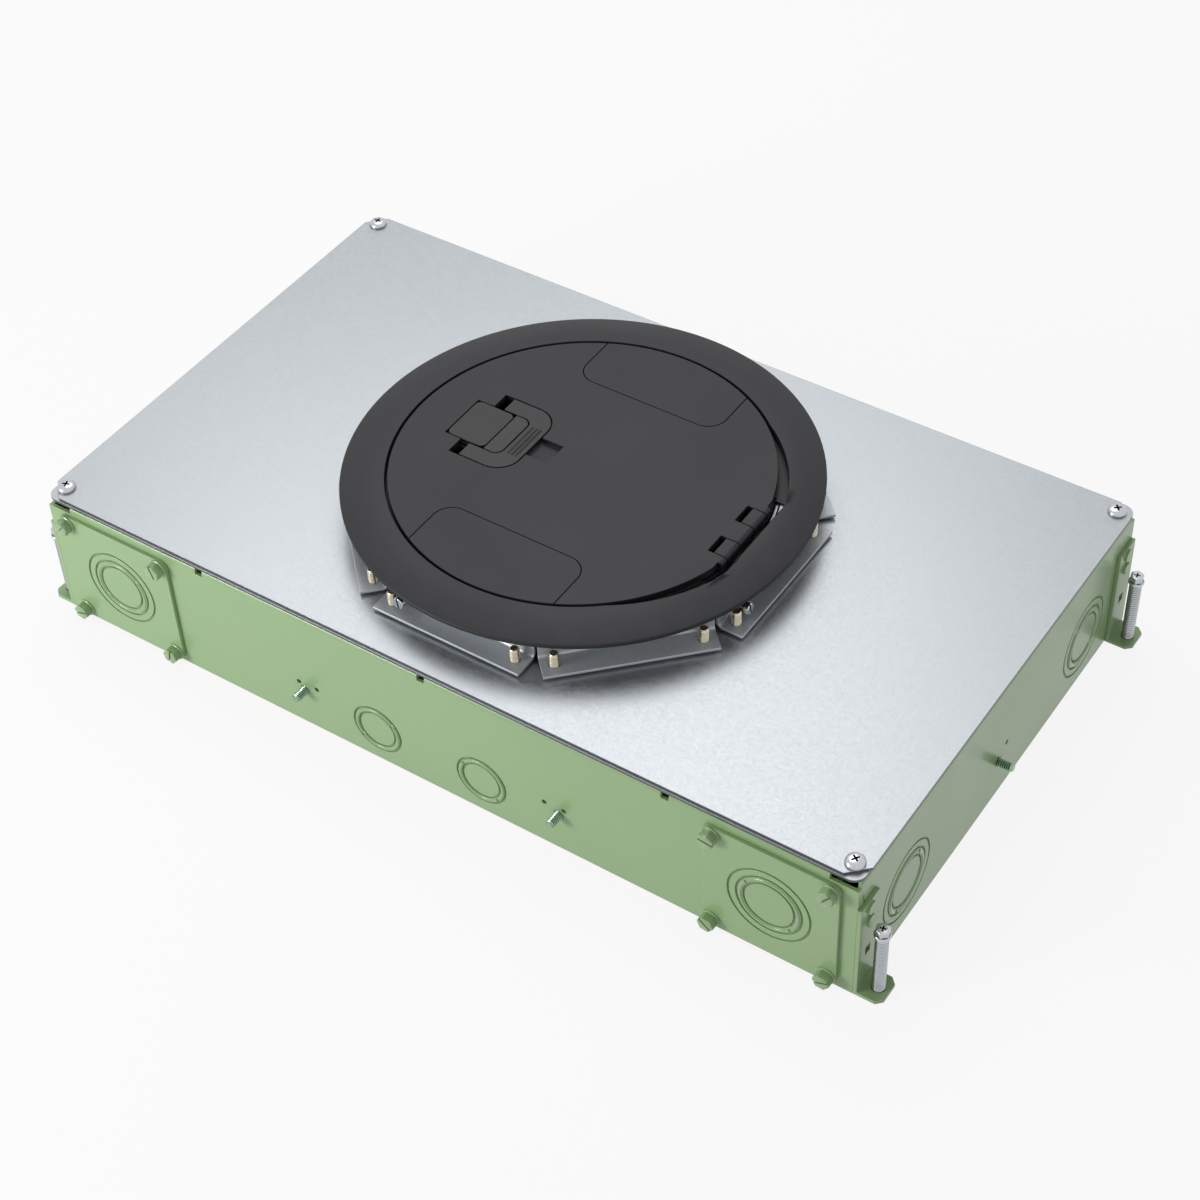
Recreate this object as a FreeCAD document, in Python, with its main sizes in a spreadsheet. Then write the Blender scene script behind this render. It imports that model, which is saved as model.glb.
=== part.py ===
"""Floor socket box: a green sheet steel box under two cover plates, with a round
hinged cover on a levelling collar.  Millimetres, +Z up, origin at the middle of
the box's underside, +X along the box and towards the lid's hinge."""
import FreeCAD, Part
import math
import os
import Sketcher

# ---------------------------------------------------------------- sizes
# Each size is written once here and goes into the sheet under its own name.
SIZES = [
    ("box_length", 455.0, "steel box, outside, along X"),
    ("box_width", 268.0, "steel box, outside, along Y"),
    ("box_height", 74.6, "underside to the top of the return lips"),
    ("box_sheet", 2.0, "sheet of the box"),
    ("bend_radius", 3.0, "outside radius of the box's bends"),
    ("lip_width", 13.0, "return lips that carry the cover plates"),
    ("lip_end_gap", 12.0, "the long lips stop this far from the box's ends"),
    ("notch_width", 4.0, "relief notches in the long bends"),
    ("notch_depth", 4.5, "height of a relief notch"),
    ("notch_inset", 96.0, "outer relief notches from the box's ends"),
    ("small_ko_radius", 14.1, "small knockout, outer ring"),
    ("small_ko_inner", 10.9, "small knockout, inner ring"),
    ("small_ko_pitch", 60.4, "small knockouts apart on the long sides"),
    ("small_ko_height", 20.6, "their height over the underside"),
    ("large_ko_radius", 21.3, "concentric knockout, outer ring"),
    ("large_ko_middle", 17.1, "concentric knockout, middle ring"),
    ("large_ko_inner", 13.3, "concentric knockout, inner ring"),
    ("end_ko_inset", 46.0, "knockouts on the end walls, from the long sides"),
    ("end_ko_height", 29.1, "their height over the underside"),
    ("ring_width", 1.0, "width of a knockout's cut ring"),
    ("ring_depth", 1.2, "depth of a knockout's cut ring"),
    ("ko_plate_width", 68.4, "removable knockout plate, along X"),
    ("ko_plate_height", 66.8, "removable knockout plate, along Z"),
    ("ko_plate_sheet", 2.0, "its sheet"),
    ("ko_plate_corner", 4.0, "its corner radius"),
    ("ko_plate_inset", 41.8, "its middle from the box's end"),
    ("ko_plate_level", 35.6, "its middle over the underside"),
    ("ko_window", 50.0, "window in the wall behind a knockout plate"),
    ("plate_screw_pitch_x", 59.0, "screws of a knockout plate, along X"),
    ("plate_screw_pitch_z", 57.5, "screws of a knockout plate, along Z"),
    ("plate_screw_radius", 2.0, "their thread"),
    ("plate_screw_washer", 4.4, "radius of the head's washer face"),
    ("plate_screw_hex", 3.6, "corner radius of the hexagon head"),
    ("plate_screw_head", 4.2, "height of the hexagon head"),
    ("plate_screw_length", 9.0, "length under the head"),
    ("ground_screw_x", 73.6, "ground screws from the middle of a long side"),
    ("ground_screw_z", 23.6, "ground screws over the underside"),
    ("ground_screw_radius", 2.4, "their thread"),
    ("ground_screw_stand", 8.0, "how far the tip stands out of the wall"),
    ("ground_screw_head", 4.6, "radius of the head inside the box"),
    ("pilot_radius", 1.3, "pilot holes beside a ground screw"),
    ("pilot_rise", 4.0, "pilot holes over a long side's ground screw"),
    ("pilot_inner", 7.7, "pilot hole from the ground screw, towards the middle"),
    ("pilot_outer", 3.0, "pilot hole from the ground screw, towards the end"),
    ("end_pilot_rise", 6.2, "pilot hole over an end's ground screw"),
    ("bracket_sheet", 2.0, "sheet of the levelling brackets"),
    ("bracket_width", 16.0, "levelling bracket, along Y"),
    ("bracket_reach", 12.0, "its foot, from the leg's face outwards"),
    ("bracket_height", 58.0, "its leg, over the underside"),
    ("bracket_chamfer", 3.0, "cut corners of the foot"),
    ("bracket_slot_length", 9.0, "slot in the leg"),
    ("bracket_slot_radius", 2.0, "half the slot's width"),
    ("bracket_slot_level", 24.6, "slot over the underside"),
    ("rivet_radius", 1.6, "shank of the rivets"),
    ("rivet_head", 3.2, "radius of a rivet's head"),
    ("rivet_low", 45.0, "lower rivet over the underside"),
    ("rivet_pitch", 8.6, "rivets apart in height"),
    ("level_screw_x", 6.5, "levelling screw from the leg's face"),
    ("level_screw_y", 8.0, "levelling screw from the long side's face"),
    ("level_screw_radius", 3.1, "its thread"),
    ("level_screw_length", 38.1, "its length under the head"),
    ("level_screw_washer", 5.6, "radius of the head's washer face"),
    ("level_screw_hex", 4.6, "corner radius of its hexagon head"),
    ("level_screw_head", 4.0, "height of the hexagon head"),
    ("thread_gap", 0.05, "running clearance of a thread or a pin in its hole"),
    ("lower_plate_over", 0.3, "lower cover plate past the box's ends"),
    ("lower_plate_side", 0.3, "lower cover plate past the box's long sides"),
    ("lower_plate_corner", 6.0, "its corner radius"),
    ("upper_plate_over", 1.1, "upper cover plate past the box's ends"),
    ("upper_plate_side", -0.5, "upper cover plate past the box's long sides"),
    ("upper_plate_chamfer", 9.0, "its cut corners"),
    ("plate_sheet", 1.5, "sheet of the cover plates"),
    ("cover_screw_inset_x", 6.5, "cover screws from the box's ends"),
    ("cover_screw_inset_y", 7.9, "cover screws from the long sides"),
    ("cover_screw_radius", 2.0, "their thread"),
    ("cover_screw_head", 4.7, "radius of the pan head"),
    ("cover_screw_rise", 3.0, "height of the pan head"),
    ("cover_screw_length", 11.0, "length under the head"),
    ("cover_screw_slack", 0.4, "screw in the cover plates' holes"),
    ("riser_radius", 95.5, "riser sleeve, outside"),
    ("riser_sheet", 1.5, "its wall"),
    ("riser_rise", 15.0, "riser sleeve over the upper cover plate"),
    ("riser_flange", 12.5, "width of its flange under the lower cover plate"),
    ("riser_slack", 0.5, "riser sleeve in the cover plates' opening"),
    ("collar_room", 6.0, "octagon collar's walls outside the riser sleeve"),
    ("collar_sheet", 1.5, "its sheet"),
    ("collar_slack", 0.6, "riser sleeve in the opening of its top ring"),
    ("collar_gap", 0.8, "slit between neighbouring walls and feet"),
    ("foot_width", 12.8, "the collar's feet, outwards from its walls"),
    ("foot_float", 1.3, "the feet float this far over the upper cover plate"),
    ("foot_bend", 3.5, "outside radius of the bend from wall to foot"),
    ("collar_rise", 15.5, "top of the collar over the upper cover plate"),
    ("set_screw_pitch", 69.0, "set screws apart on one foot"),
    ("set_screw_out", 5.5, "set screws from the collar's walls"),
    ("set_screw_radius", 2.5, "their thread"),
    ("set_screw_length", 10.0, "their length"),
    ("set_screw_socket", 1.45, "corner radius of the hexagon socket"),
    ("clamp_offset", 28.4, "clamp screws beside the middle of their wall"),
    ("clamp_level", 8.0, "clamp screws over the upper cover plate"),
    ("clamp_radius", 2.5, "their thread"),
    ("clamp_head", 3.1, "radius of the head"),
    ("clamp_head_length", 5.0, "length of the head"),
    ("clamp_stand", 4.5, "the head's underside from the collar's wall"),
    ("flange_screw_out", 2.0, "screws under the trim flange, outside the collar's apothem"),
    ("flange_screw_radius", 1.75, "their thread"),
    ("flange_screw_head", 3.2, "radius of their heads"),
    ("flange_screw_depth", 3.0, "their length in the flange"),
    ("flange_over", 2.1, "trim flange past the collar's feet"),
    ("flange_rim", 2.2, "thickness of its rim"),
    ("flange_rim_rise", 18.8, "top of the rim over the upper cover plate"),
    ("flange_dome", 45.0, "radius from the level top into the slope"),
    ("flange_edge", 0.8, "rounding of the rim's outer edge"),
    ("flange_crown", 21.8, "top of the flange and lid over the upper plate"),
    ("flange_crown_width", 6.4, "level top of the flange, from the opening outwards"),
    ("opening_over", 1.2, "opening for the lid, wider than the skirt"),
    ("skirt_gap", 0.6, "skirt inside the riser sleeve"),
    ("skirt_wall", 2.0, "its wall"),
    ("skirt_drop", 13.0, "skirt under the flange's underside"),
    ("ledge_width", 9.4, "the lid's ledge, inwards from the skirt's face"),
    ("ledge_thickness", 2.0, "the ledge that carries the gasket"),
    ("gasket_thickness", 1.2, "gasket on the ledge"),
    ("gasket_hinge_room", 14.0, "gasket cut away from the hinge axis inwards"),
    ("gasket_inset", 2.0, "gasket's inner edge from the ledge's"),
    ("relief_centre", 14.0, "centre of the wider opening at the hinge"),
    ("relief_bulge", 4.3, "its arc would pass the flat side by this"),
    ("relief_over", 1.4, "its flat side past the opening's radius"),
    ("lid_gap", 1.4, "gap around the lid"),
    ("lid_thickness", 4.0, "lid"),
    ("hinge_inset", 3.8, "hinge axis from the lid's rim"),
    ("hinge_drop", 2.6, "hinge axis under the lid's face, and the barrel's radius"),
    ("hinge_side_room", 10.0, "flange cut free beside the lid's barrel"),
    ("hinge_block_gap", 0.6, "hinge block under the lid's barrel"),
    ("hinge_half_width", 22.0, "lid's barrel, half its length along Y"),
    ("knuckle_centre", 11.9, "frame knuckles from the middle, along Y"),
    ("knuckle_width", 11.0, "frame knuckle, along Y"),
    ("knuckle_gap", 0.35, "lid beside a frame knuckle"),
    ("knuckle_reach", 4.9, "frame knuckle's arm, from the axis inwards"),
    ("knuckle_pocket", 8.0, "lid's pocket behind a knuckle, from the axis"),
    ("hinge_pin_radius", 1.25, "hinge pin"),
    ("door_half_width", 40.6, "cable door, half its width along X"),
    ("door_chord", 54.7, "cable door's straight edge from the middle"),
    ("door_corner", 10.0, "its inner corner radius"),
    ("door_gap", 0.35, "gap around a cable door"),
    ("door_pin_radius", 1.0, "pivot pins at a door's sides"),
    ("door_pin_reach", 4.0, "pivot pin, into the door and into the lid"),
    ("bail_pivot_x", 53.4, "bail's pivot from the middle"),
    ("bail_tip_x", 28.6, "bail's tip from the middle"),
    ("bail_half_width", 23.6, "bail, half its width"),
    ("bail_bar", 10.0, "width of the bail's cross bar"),
    ("bail_arm", 9.0, "width of the bail's arms"),
    ("bail_tail", 2.5, "arms past the pivot"),
    ("bail_thickness", 2.2, "bail"),
    ("bail_corner", 12.0, "bail's outer corner radius"),
    ("bail_inner_corner", 5.0, "bail's inner corner radius"),
    ("bail_gap", 0.6, "gap around the bail"),
    ("grip_pitch", 2.2, "grip grooves on the cross bar, apart"),
    ("grip_width", 0.7, "width of a grip groove"),
    ("grip_depth", 0.4, "depth of a grip groove"),
    ("grip_half_length", 11.0, "grip groove, half its length along Y"),
    ("bail_pin_radius", 0.8, "bail's pivot pins"),
    ("bail_pin_length", 3.0, "bail's pivot pins, from the arm outwards"),
    ("pocket_tail", 8.0, "open pocket behind the bail's pivot"),
    ("finger_length", 13.0, "finger pocket in front of the bail"),
    ("finger_half_width", 7.0, "finger pocket, half its width"),
    ("finger_depth", 2.8, "finger pocket, depth at the bail"),
    ("cap_near_x", 48.5, "latch cap's near edge from the middle"),
    ("cap_far_x", 70.4, "latch cap's far edge from the middle"),
    ("cap_half_width", 13.6, "latch cap, half its width"),
    ("cap_corner", 3.0, "its corner radius"),
    ("cap_thickness", 2.0, "latch cap"),
    ("cap_gap", 0.5, "gap around the latch cap"),
    ("bolt_width", 16.0, "latch bolt"),
    ("bolt_thickness", 2.2, "latch bolt"),
    ("bolt_length", 36.0, "latch bolt"),
    ("bolt_gap", 0.4, "latch bolt under the ledge and beside its guide"),
    ("guide_sheet", 1.2, "sheet of the bolt's guide"),
    ("guide_length", 20.0, "bolt's guide, along X"),
    ("guide_ear", 5.5, "guide's ears with their screws"),
    ("guide_screw_radius", 1.5, "guide's screws"),
    ("boss_setback", 8.0, "latch boss from the ledge"),
    ("boss_lap", 4.0, "latch boss past the cap's near edge"),
    ("divider_x", 0.0, "divider between power and data"),
    ("divider_height", 50.0, "divider over the box's floor"),
    ("divider_sheet", 1.2, "divider"),
    ("divider_foot", 8.0, "divider's foot on the floor"),
    ("device_sheet", 1.5, "sheet of the device brackets"),
    ("device_level", 40.0, "device plates over the underside"),
    ("device_plate_x", 76.0, "device bracket, along X"),
    ("device_plate_y", 118.0, "device bracket, along Y"),
    ("device_gap", 8.0, "device bracket beside the divider or its foot"),
    ("device_foot", 12.0, "device bracket's feet, along Y"),
    ("device_pitch", 36.0, "devices apart on a bracket"),
    ("device_screw_pitch", 96.8, "mounting screws of a device apart"),
    ("device_window_x", 30.0, "window for one device, along X"),
    ("device_window_y", 74.0, "window for one device, along Y"),
    ("device_face_rise", 6.0, "device face over its strap"),
    ("device_body_drop", 24.0, "device body under its strap"),
    ("device_fit", 0.4, "device body in its window"),
    ("strap_length", 106.0, "device strap"),
    ("strap_width", 20.0, "device strap"),
    ("strap_sheet", 1.2, "device strap"),
    ("device_screw_radius", 1.75, "device screws"),
    ("device_screw_length", 7.0, "device screws under their heads"),
    ("device_screw_head", 3.2, "radius of their heads"),
    ("device_screw_rise", 1.8, "height of their heads"),
    ("outlet_radius", 16.0, "round sides of an outlet's face"),
    ("outlet_trim", 14.0, "flat sides of an outlet's face from its middle"),
    ("contact_x", 6.35, "contact slots from an outlet's middle"),
    ("contact_half_width", 1.0, "contact slot, half its width"),
    ("contact_live", 3.6, "live contact slot, half its length"),
    ("contact_neutral", 4.3, "neutral contact slot, half its length"),
    ("contact_rise", 3.0, "contact slots from the outlet's middle, along Y"),
    ("contact_depth", 10.0, "depth of an outlet's slots"),
    ("earth_radius", 2.4, "earth hole"),
    ("earth_drop", 8.0, "earth hole from the outlet's middle"),
    ("jack_side", 15.0, "data jack, side of its square face"),
    ("jack_depth", 12.0, "data jack under its plate"),
    ("jack_face", 1.5, "data jack's face over its plate"),
    ("jack_lip", 1.2, "data jack's face past its body"),
    ("jack_socket_depth", 9.0, "its socket under the plate"),
    ("jack_socket_x", 5.8, "its socket, half its width"),
    ("jack_socket_y", 4.0, "its socket, half its height"),
    ("jack_key_x", 3.0, "its socket's notch, half its width"),
    ("jack_key_y", 6.0, "its socket's notch, from the middle"),
]

doc = FreeCAD.newDocument("floor_socket_box")
sheet = doc.addObject("Spreadsheet::Sheet", "sizes")
for row, (alias, number, note) in enumerate(SIZES, 1):
    sheet.set("A%d" % row, alias)
    sheet.set("B%d" % row, str(number))
    sheet.set("C%d" % row, note)
    sheet.setAlias("B%d" % row, alias)
doc.recompute()


class Size:
    """A number together with the sheet expression that gives it."""

    def __init__(self, value, text):
        self.value = value
        self.text = text

    def __add__(self, other):
        other = as_size(other)
        return Size(self.value + other.value, "(%s + %s)" % (self.text, other.text))

    def __sub__(self, other):
        other = as_size(other)
        return Size(self.value - other.value, "(%s - %s)" % (self.text, other.text))

    def __mul__(self, other):
        other = as_size(other)
        return Size(self.value * other.value, "(%s * %s)" % (self.text, other.text))

    def __truediv__(self, other):
        other = as_size(other)
        return Size(self.value / other.value, "(%s / %s)" % (self.text, other.text))

    def __neg__(self):
        return Size(-self.value, "(-1 * %s)" % self.text)

    __radd__ = __add__
    __rmul__ = __mul__


def as_size(thing):
    return thing if isinstance(thing, Size) else Size(float(thing), repr(float(thing)))


class Sheet:
    """Reads the sheet's cells by name, as Size values."""

    def __getattr__(self, alias):
        return Size(float(sheet.get(alias)), "sizes." + alias)


S = Sheet()
parts = []          # the finished sub-parts, one for each file

# Levels that several sub-parts share.
deck = S.box_height + 2 * S.plate_sheet             # upper face of the upper cover plate
crown = deck + S.flange_crown                       # face of the lid and flange
lid_under = crown - S.lid_thickness
ledge_top = lid_under - S.gasket_thickness
ledge_under = ledge_top - S.ledge_thickness
hinge_z = crown - S.hinge_drop
door_axis_z = crown - S.lid_thickness / 2
door_axis_y = S.door_chord + S.door_corner
leg_face = S.box_length / 2 + S.bracket_sheet       # outer face of the levelling brackets
front = S.box_width / 2                             # long side's face
floor = S.box_sheet

# Places and radii that follow from another piece and a clearance.
half_length = S.box_length / 2
notch_x = half_length - S.notch_inset
end_ko_y = front - S.end_ko_inset
ko_plate_x = half_length - S.ko_plate_inset
cover_screw_x = half_length - S.cover_screw_inset_x
cover_screw_y = front - S.cover_screw_inset_y
collar_apothem = S.riser_radius + S.collar_room
foot_apothem = collar_apothem + S.foot_width
set_screw_apothem = collar_apothem + S.set_screw_out
flange_screw_apothem = collar_apothem + S.flange_screw_out
flange_radius = foot_apothem + S.flange_over
skirt_radius = S.riser_radius - S.riser_sheet - S.skirt_gap
ledge_radius = skirt_radius - S.ledge_width
gasket_inner = ledge_radius + S.gasket_inset
opening_radius = skirt_radius + S.opening_over
crown_radius = opening_radius + S.flange_crown_width
relief_flat = opening_radius + S.relief_over
relief_radius = relief_flat - S.relief_centre + S.relief_bulge
lid_radius = opening_radius - S.lid_gap
hinge_x = lid_radius - S.hinge_inset
hinge_room = S.hinge_half_width + S.hinge_side_room     # half the length cut free for the lid's barrel
bolt_top = ledge_under - S.bolt_gap                     # the bolt passes under the ledge
boss_low = ledge_under
boss_half = S.bolt_width / 2 + S.guide_sheet + S.bolt_gap + S.guide_ear
boss_far = ledge_radius - S.boss_setback
boss_near = S.cap_near_x - S.boss_lap
guide_x = (boss_far + boss_near) / 2
guide_screw_y = boss_half - S.guide_ear / 2
bail_axis_z = crown - S.bail_thickness / 2


# ---------------------------------------------------------------- tools
def bind(thing, prop, amount):
    """Sets a property, bound to the sheet where the amount comes from it."""
    amount = as_size(amount)
    if "sizes." in amount.text:
        thing.setExpression(prop, amount.text)
    elif prop.startswith("Placement.Base.") or prop.startswith("AttachmentOffset.Base."):
        thing.setExpression(prop, amount.text)
    else:
        setattr(thing, prop, amount.value)


def place(thing, x, y, z, rotation=None):
    if rotation is not None:
        thing.Placement = FreeCAD.Placement(FreeCAD.Vector(), rotation)
    bind(thing, "Placement.Base.x", x)
    bind(thing, "Placement.Base.y", y)
    bind(thing, "Placement.Base.z", z)
    return thing


def block(name, low, high):
    """Box between two corners."""
    thing = doc.addObject("Part::Box", name)
    low = [as_size(v) for v in low]
    high = [as_size(v) for v in high]
    bind(thing, "Length", high[0] - low[0])
    bind(thing, "Width", high[1] - low[1])
    bind(thing, "Height", high[2] - low[2])
    return place(thing, *low)


TURN = {
    "+Z": FreeCAD.Rotation(FreeCAD.Vector(0, 0, 1), 0),
    "-Z": FreeCAD.Rotation(FreeCAD.Vector(1, 0, 0), 180),
    "+X": FreeCAD.Rotation(FreeCAD.Vector(0, 1, 0), 90),
    "-X": FreeCAD.Rotation(FreeCAD.Vector(0, 1, 0), -90),
    "+Y": FreeCAD.Rotation(FreeCAD.Vector(1, 0, 0), -90),
    "-Y": FreeCAD.Rotation(FreeCAD.Vector(1, 0, 0), 90),
}


def rod(name, axis, start, radius, length):
    """Cylinder from the point start along an axis such as "+X"."""
    thing = doc.addObject("Part::Cylinder", name)
    bind(thing, "Radius", radius)
    bind(thing, "Height", length)
    return place(thing, *start, rotation=TURN[axis])


def fuse(name, *things):
    thing = doc.addObject("Part::MultiFuse", name)
    thing.Shapes = list(things)
    return thing


def cut(name, base, *tools):
    tool = tools[0] if len(tools) == 1 else fuse(name + "_tools", *tools)
    thing = doc.addObject("Part::Cut", name)
    thing.Base = base
    thing.Tool = tool
    return thing


def common(name, base, tool):
    thing = doc.addObject("Part::Common", name)
    thing.Base = base
    thing.Tool = tool
    return thing


def keep(label, thing):
    """Names a finished sub-part; its label names its file."""
    thing.Label = label
    parts.append(thing)
    return thing


def new_body(name):
    return doc.addObject("PartDesign::Body", name + "_body")


def new_sketch(body, name, role, level=None):
    """Sketch on one of the body's origin planes, moved along its normal by level."""
    sketch = body.newObject("Sketcher::SketchObject", name)
    plane = [p for p in body.Origin.OriginFeatures if p.Role == role][0]
    sketch.AttachmentSupport = [(plane, "")]
    sketch.MapMode = "FlatFace"
    if level is not None:
        bind(sketch, "AttachmentOffset.Base.z", level)
    return sketch


def fix(sketch, kind, *args):
    """Adds a dimension and binds it to the sheet."""
    amount = as_size(args[-1])
    index = sketch.addConstraint(Sketcher.Constraint(kind, *args[:-1], amount.value))
    label = "%s_%d" % (kind.lower(), index)
    sketch.renameConstraint(index, label)
    if "sizes." in amount.text:
        sketch.setExpression("Constraints." + label, amount.text)


def polygon(sketch, points):
    """Closed outline; each corner is fixed from the sketch's origin."""
    points = [(as_size(x), as_size(y)) for x, y in points]
    first = sketch.GeometryCount
    count = len(points)
    for i, (x, y) in enumerate(points):
        nx, ny = points[(i + 1) % count]
        start = FreeCAD.Vector(x.value, y.value, 0)
        sketch.addGeometry(Part.LineSegment(start, FreeCAD.Vector(nx.value, ny.value, 0)))
    for i, (x, y) in enumerate(points):
        after = first + (i + 1) % count
        sketch.addConstraint(Sketcher.Constraint("Coincident", first + i, 2, after, 1))
        fix(sketch, "DistanceX", -1, 1, first + i, 1, x)
        fix(sketch, "DistanceY", -1, 1, first + i, 1, y)


def rectangle(sketch, x0, y0, x1, y1):
    polygon(sketch, [(x0, y0), (x1, y0), (x1, y1), (x0, y1)])


def circle(sketch, x, y, radius):
    x, y, radius = as_size(x), as_size(y), as_size(radius)
    centre = FreeCAD.Vector(x.value, y.value, 0)
    index = sketch.addGeometry(Part.Circle(centre, FreeCAD.Vector(0, 0, 1), radius.value))
    fix(sketch, "DistanceX", -1, 1, index, 3, x)
    fix(sketch, "DistanceY", -1, 1, index, 3, y)
    fix(sketch, "Radius", index, radius)


def pad(body, sketch, length):
    feature = body.newObject("PartDesign::Pad", sketch.Name + "_pad")
    feature.Profile = sketch
    bind(feature, "Length", length)
    body.Tip = feature
    return feature


def pocket(body, sketch, length=None, other_way=False):
    """Cuts against the sketch's normal, or through everything both ways."""
    feature = body.newObject("PartDesign::Pocket", sketch.Name + "_cut")
    feature.Profile = sketch
    if length is None:
        feature.Type = 1
        feature.Midplane = True
    else:
        bind(feature, "Length", length)
        feature.Reversed = other_way
    body.Tip = feature
    return feature


def mirrored(body, originals, role):
    feature = body.newObject("PartDesign::Mirrored", originals[0].Name + "_mirror")
    feature.Originals = originals
    plane = [p for p in body.Origin.OriginFeatures if p.Role == role][0]
    feature.MirrorPlane = (plane, [""])
    body.Tip = feature
    return feature


def rounded(body, radius, wanted):
    """Fillets the edges of the body's tip that the test picks."""
    doc.recompute()
    base = body.Tip
    names = ["Edge%d" % (i + 1) for i, edge in enumerate(base.Shape.Edges) if wanted(edge)]
    feature = body.newObject("PartDesign::Fillet", base.Name + "_round")
    feature.Base = (base, names)
    bind(feature, "Radius", radius)
    body.Tip = feature
    return feature


def upright(edge):
    """True for a straight edge along Z."""
    ends = [v.Point for v in edge.Vertexes]
    return len(ends) == 2 and (ends[0] - ends[1]).cross(FreeCAD.Vector(0, 0, 1)).Length < 1e-6


def corner_at(x, y):
    """Picks the upright edges that lie x and y from the middle, on any side."""
    x = abs(as_size(x).value)
    y = abs(as_size(y).value)

    def wanted(edge):
        point = edge.Vertexes[0].Point
        return upright(edge) and abs(abs(point.x) - x) < 1e-4 and abs(abs(point.y) - y) < 1e-4
    return wanted


def circle_at(radius, level):
    """Picks the circular edges about Z with this radius and height."""
    radius = radius.value
    level = level.value

    def wanted(edge):
        box = edge.BoundBox
        return abs(box.ZMin - level) < 1e-4 and abs(box.ZMax - level) < 1e-4 and abs(box.XMax - radius) < 1e-3
    return wanted


def along(edge, axis):
    """True for a straight edge along the axis."""
    ends = [v.Point for v in edge.Vertexes]
    return len(ends) == 2 and (ends[0] - ends[1]).cross(axis).Length < 1e-6


def copies(label, master, placements):
    """One sub-part that holds the master's solid at each placement."""
    doc.recompute()
    solids = []
    for spot in placements:
        shape = master.Shape.copy()
        shape.Placement = spot.multiply(shape.Placement)
        solids.append(shape)
    group = doc.addObject("Part::Feature", label)
    group.Shape = Part.makeCompound(solids)
    return keep(label, group)


def at(x, y, z, axis="+Z", turn=0.0):
    """Placement that puts a part drawn along +Z at a point, pointing along the axis."""
    spin = FreeCAD.Rotation(FreeCAD.Vector(0, 0, 1), turn)
    point = [as_size(v).value for v in (x, y, z)]
    return FreeCAD.Placement(FreeCAD.Vector(*point), TURN[axis].multiply(spin))


def hexagon_prism(name, radius, length, z):
    thing = doc.addObject("Part::Prism", name)
    thing.Polygon = 6
    bind(thing, "Circumradius", radius)
    bind(thing, "Height", length)
    return place(thing, 0, 0, z)


# ---------------------------------------------------------------- steel box
def ring_pair(sketch, x, y, radius):
    """The two circles of a knockout's cut ring."""
    circle(sketch, x, y, radius)
    circle(sketch, x, y, radius - S.ring_width)


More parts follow.
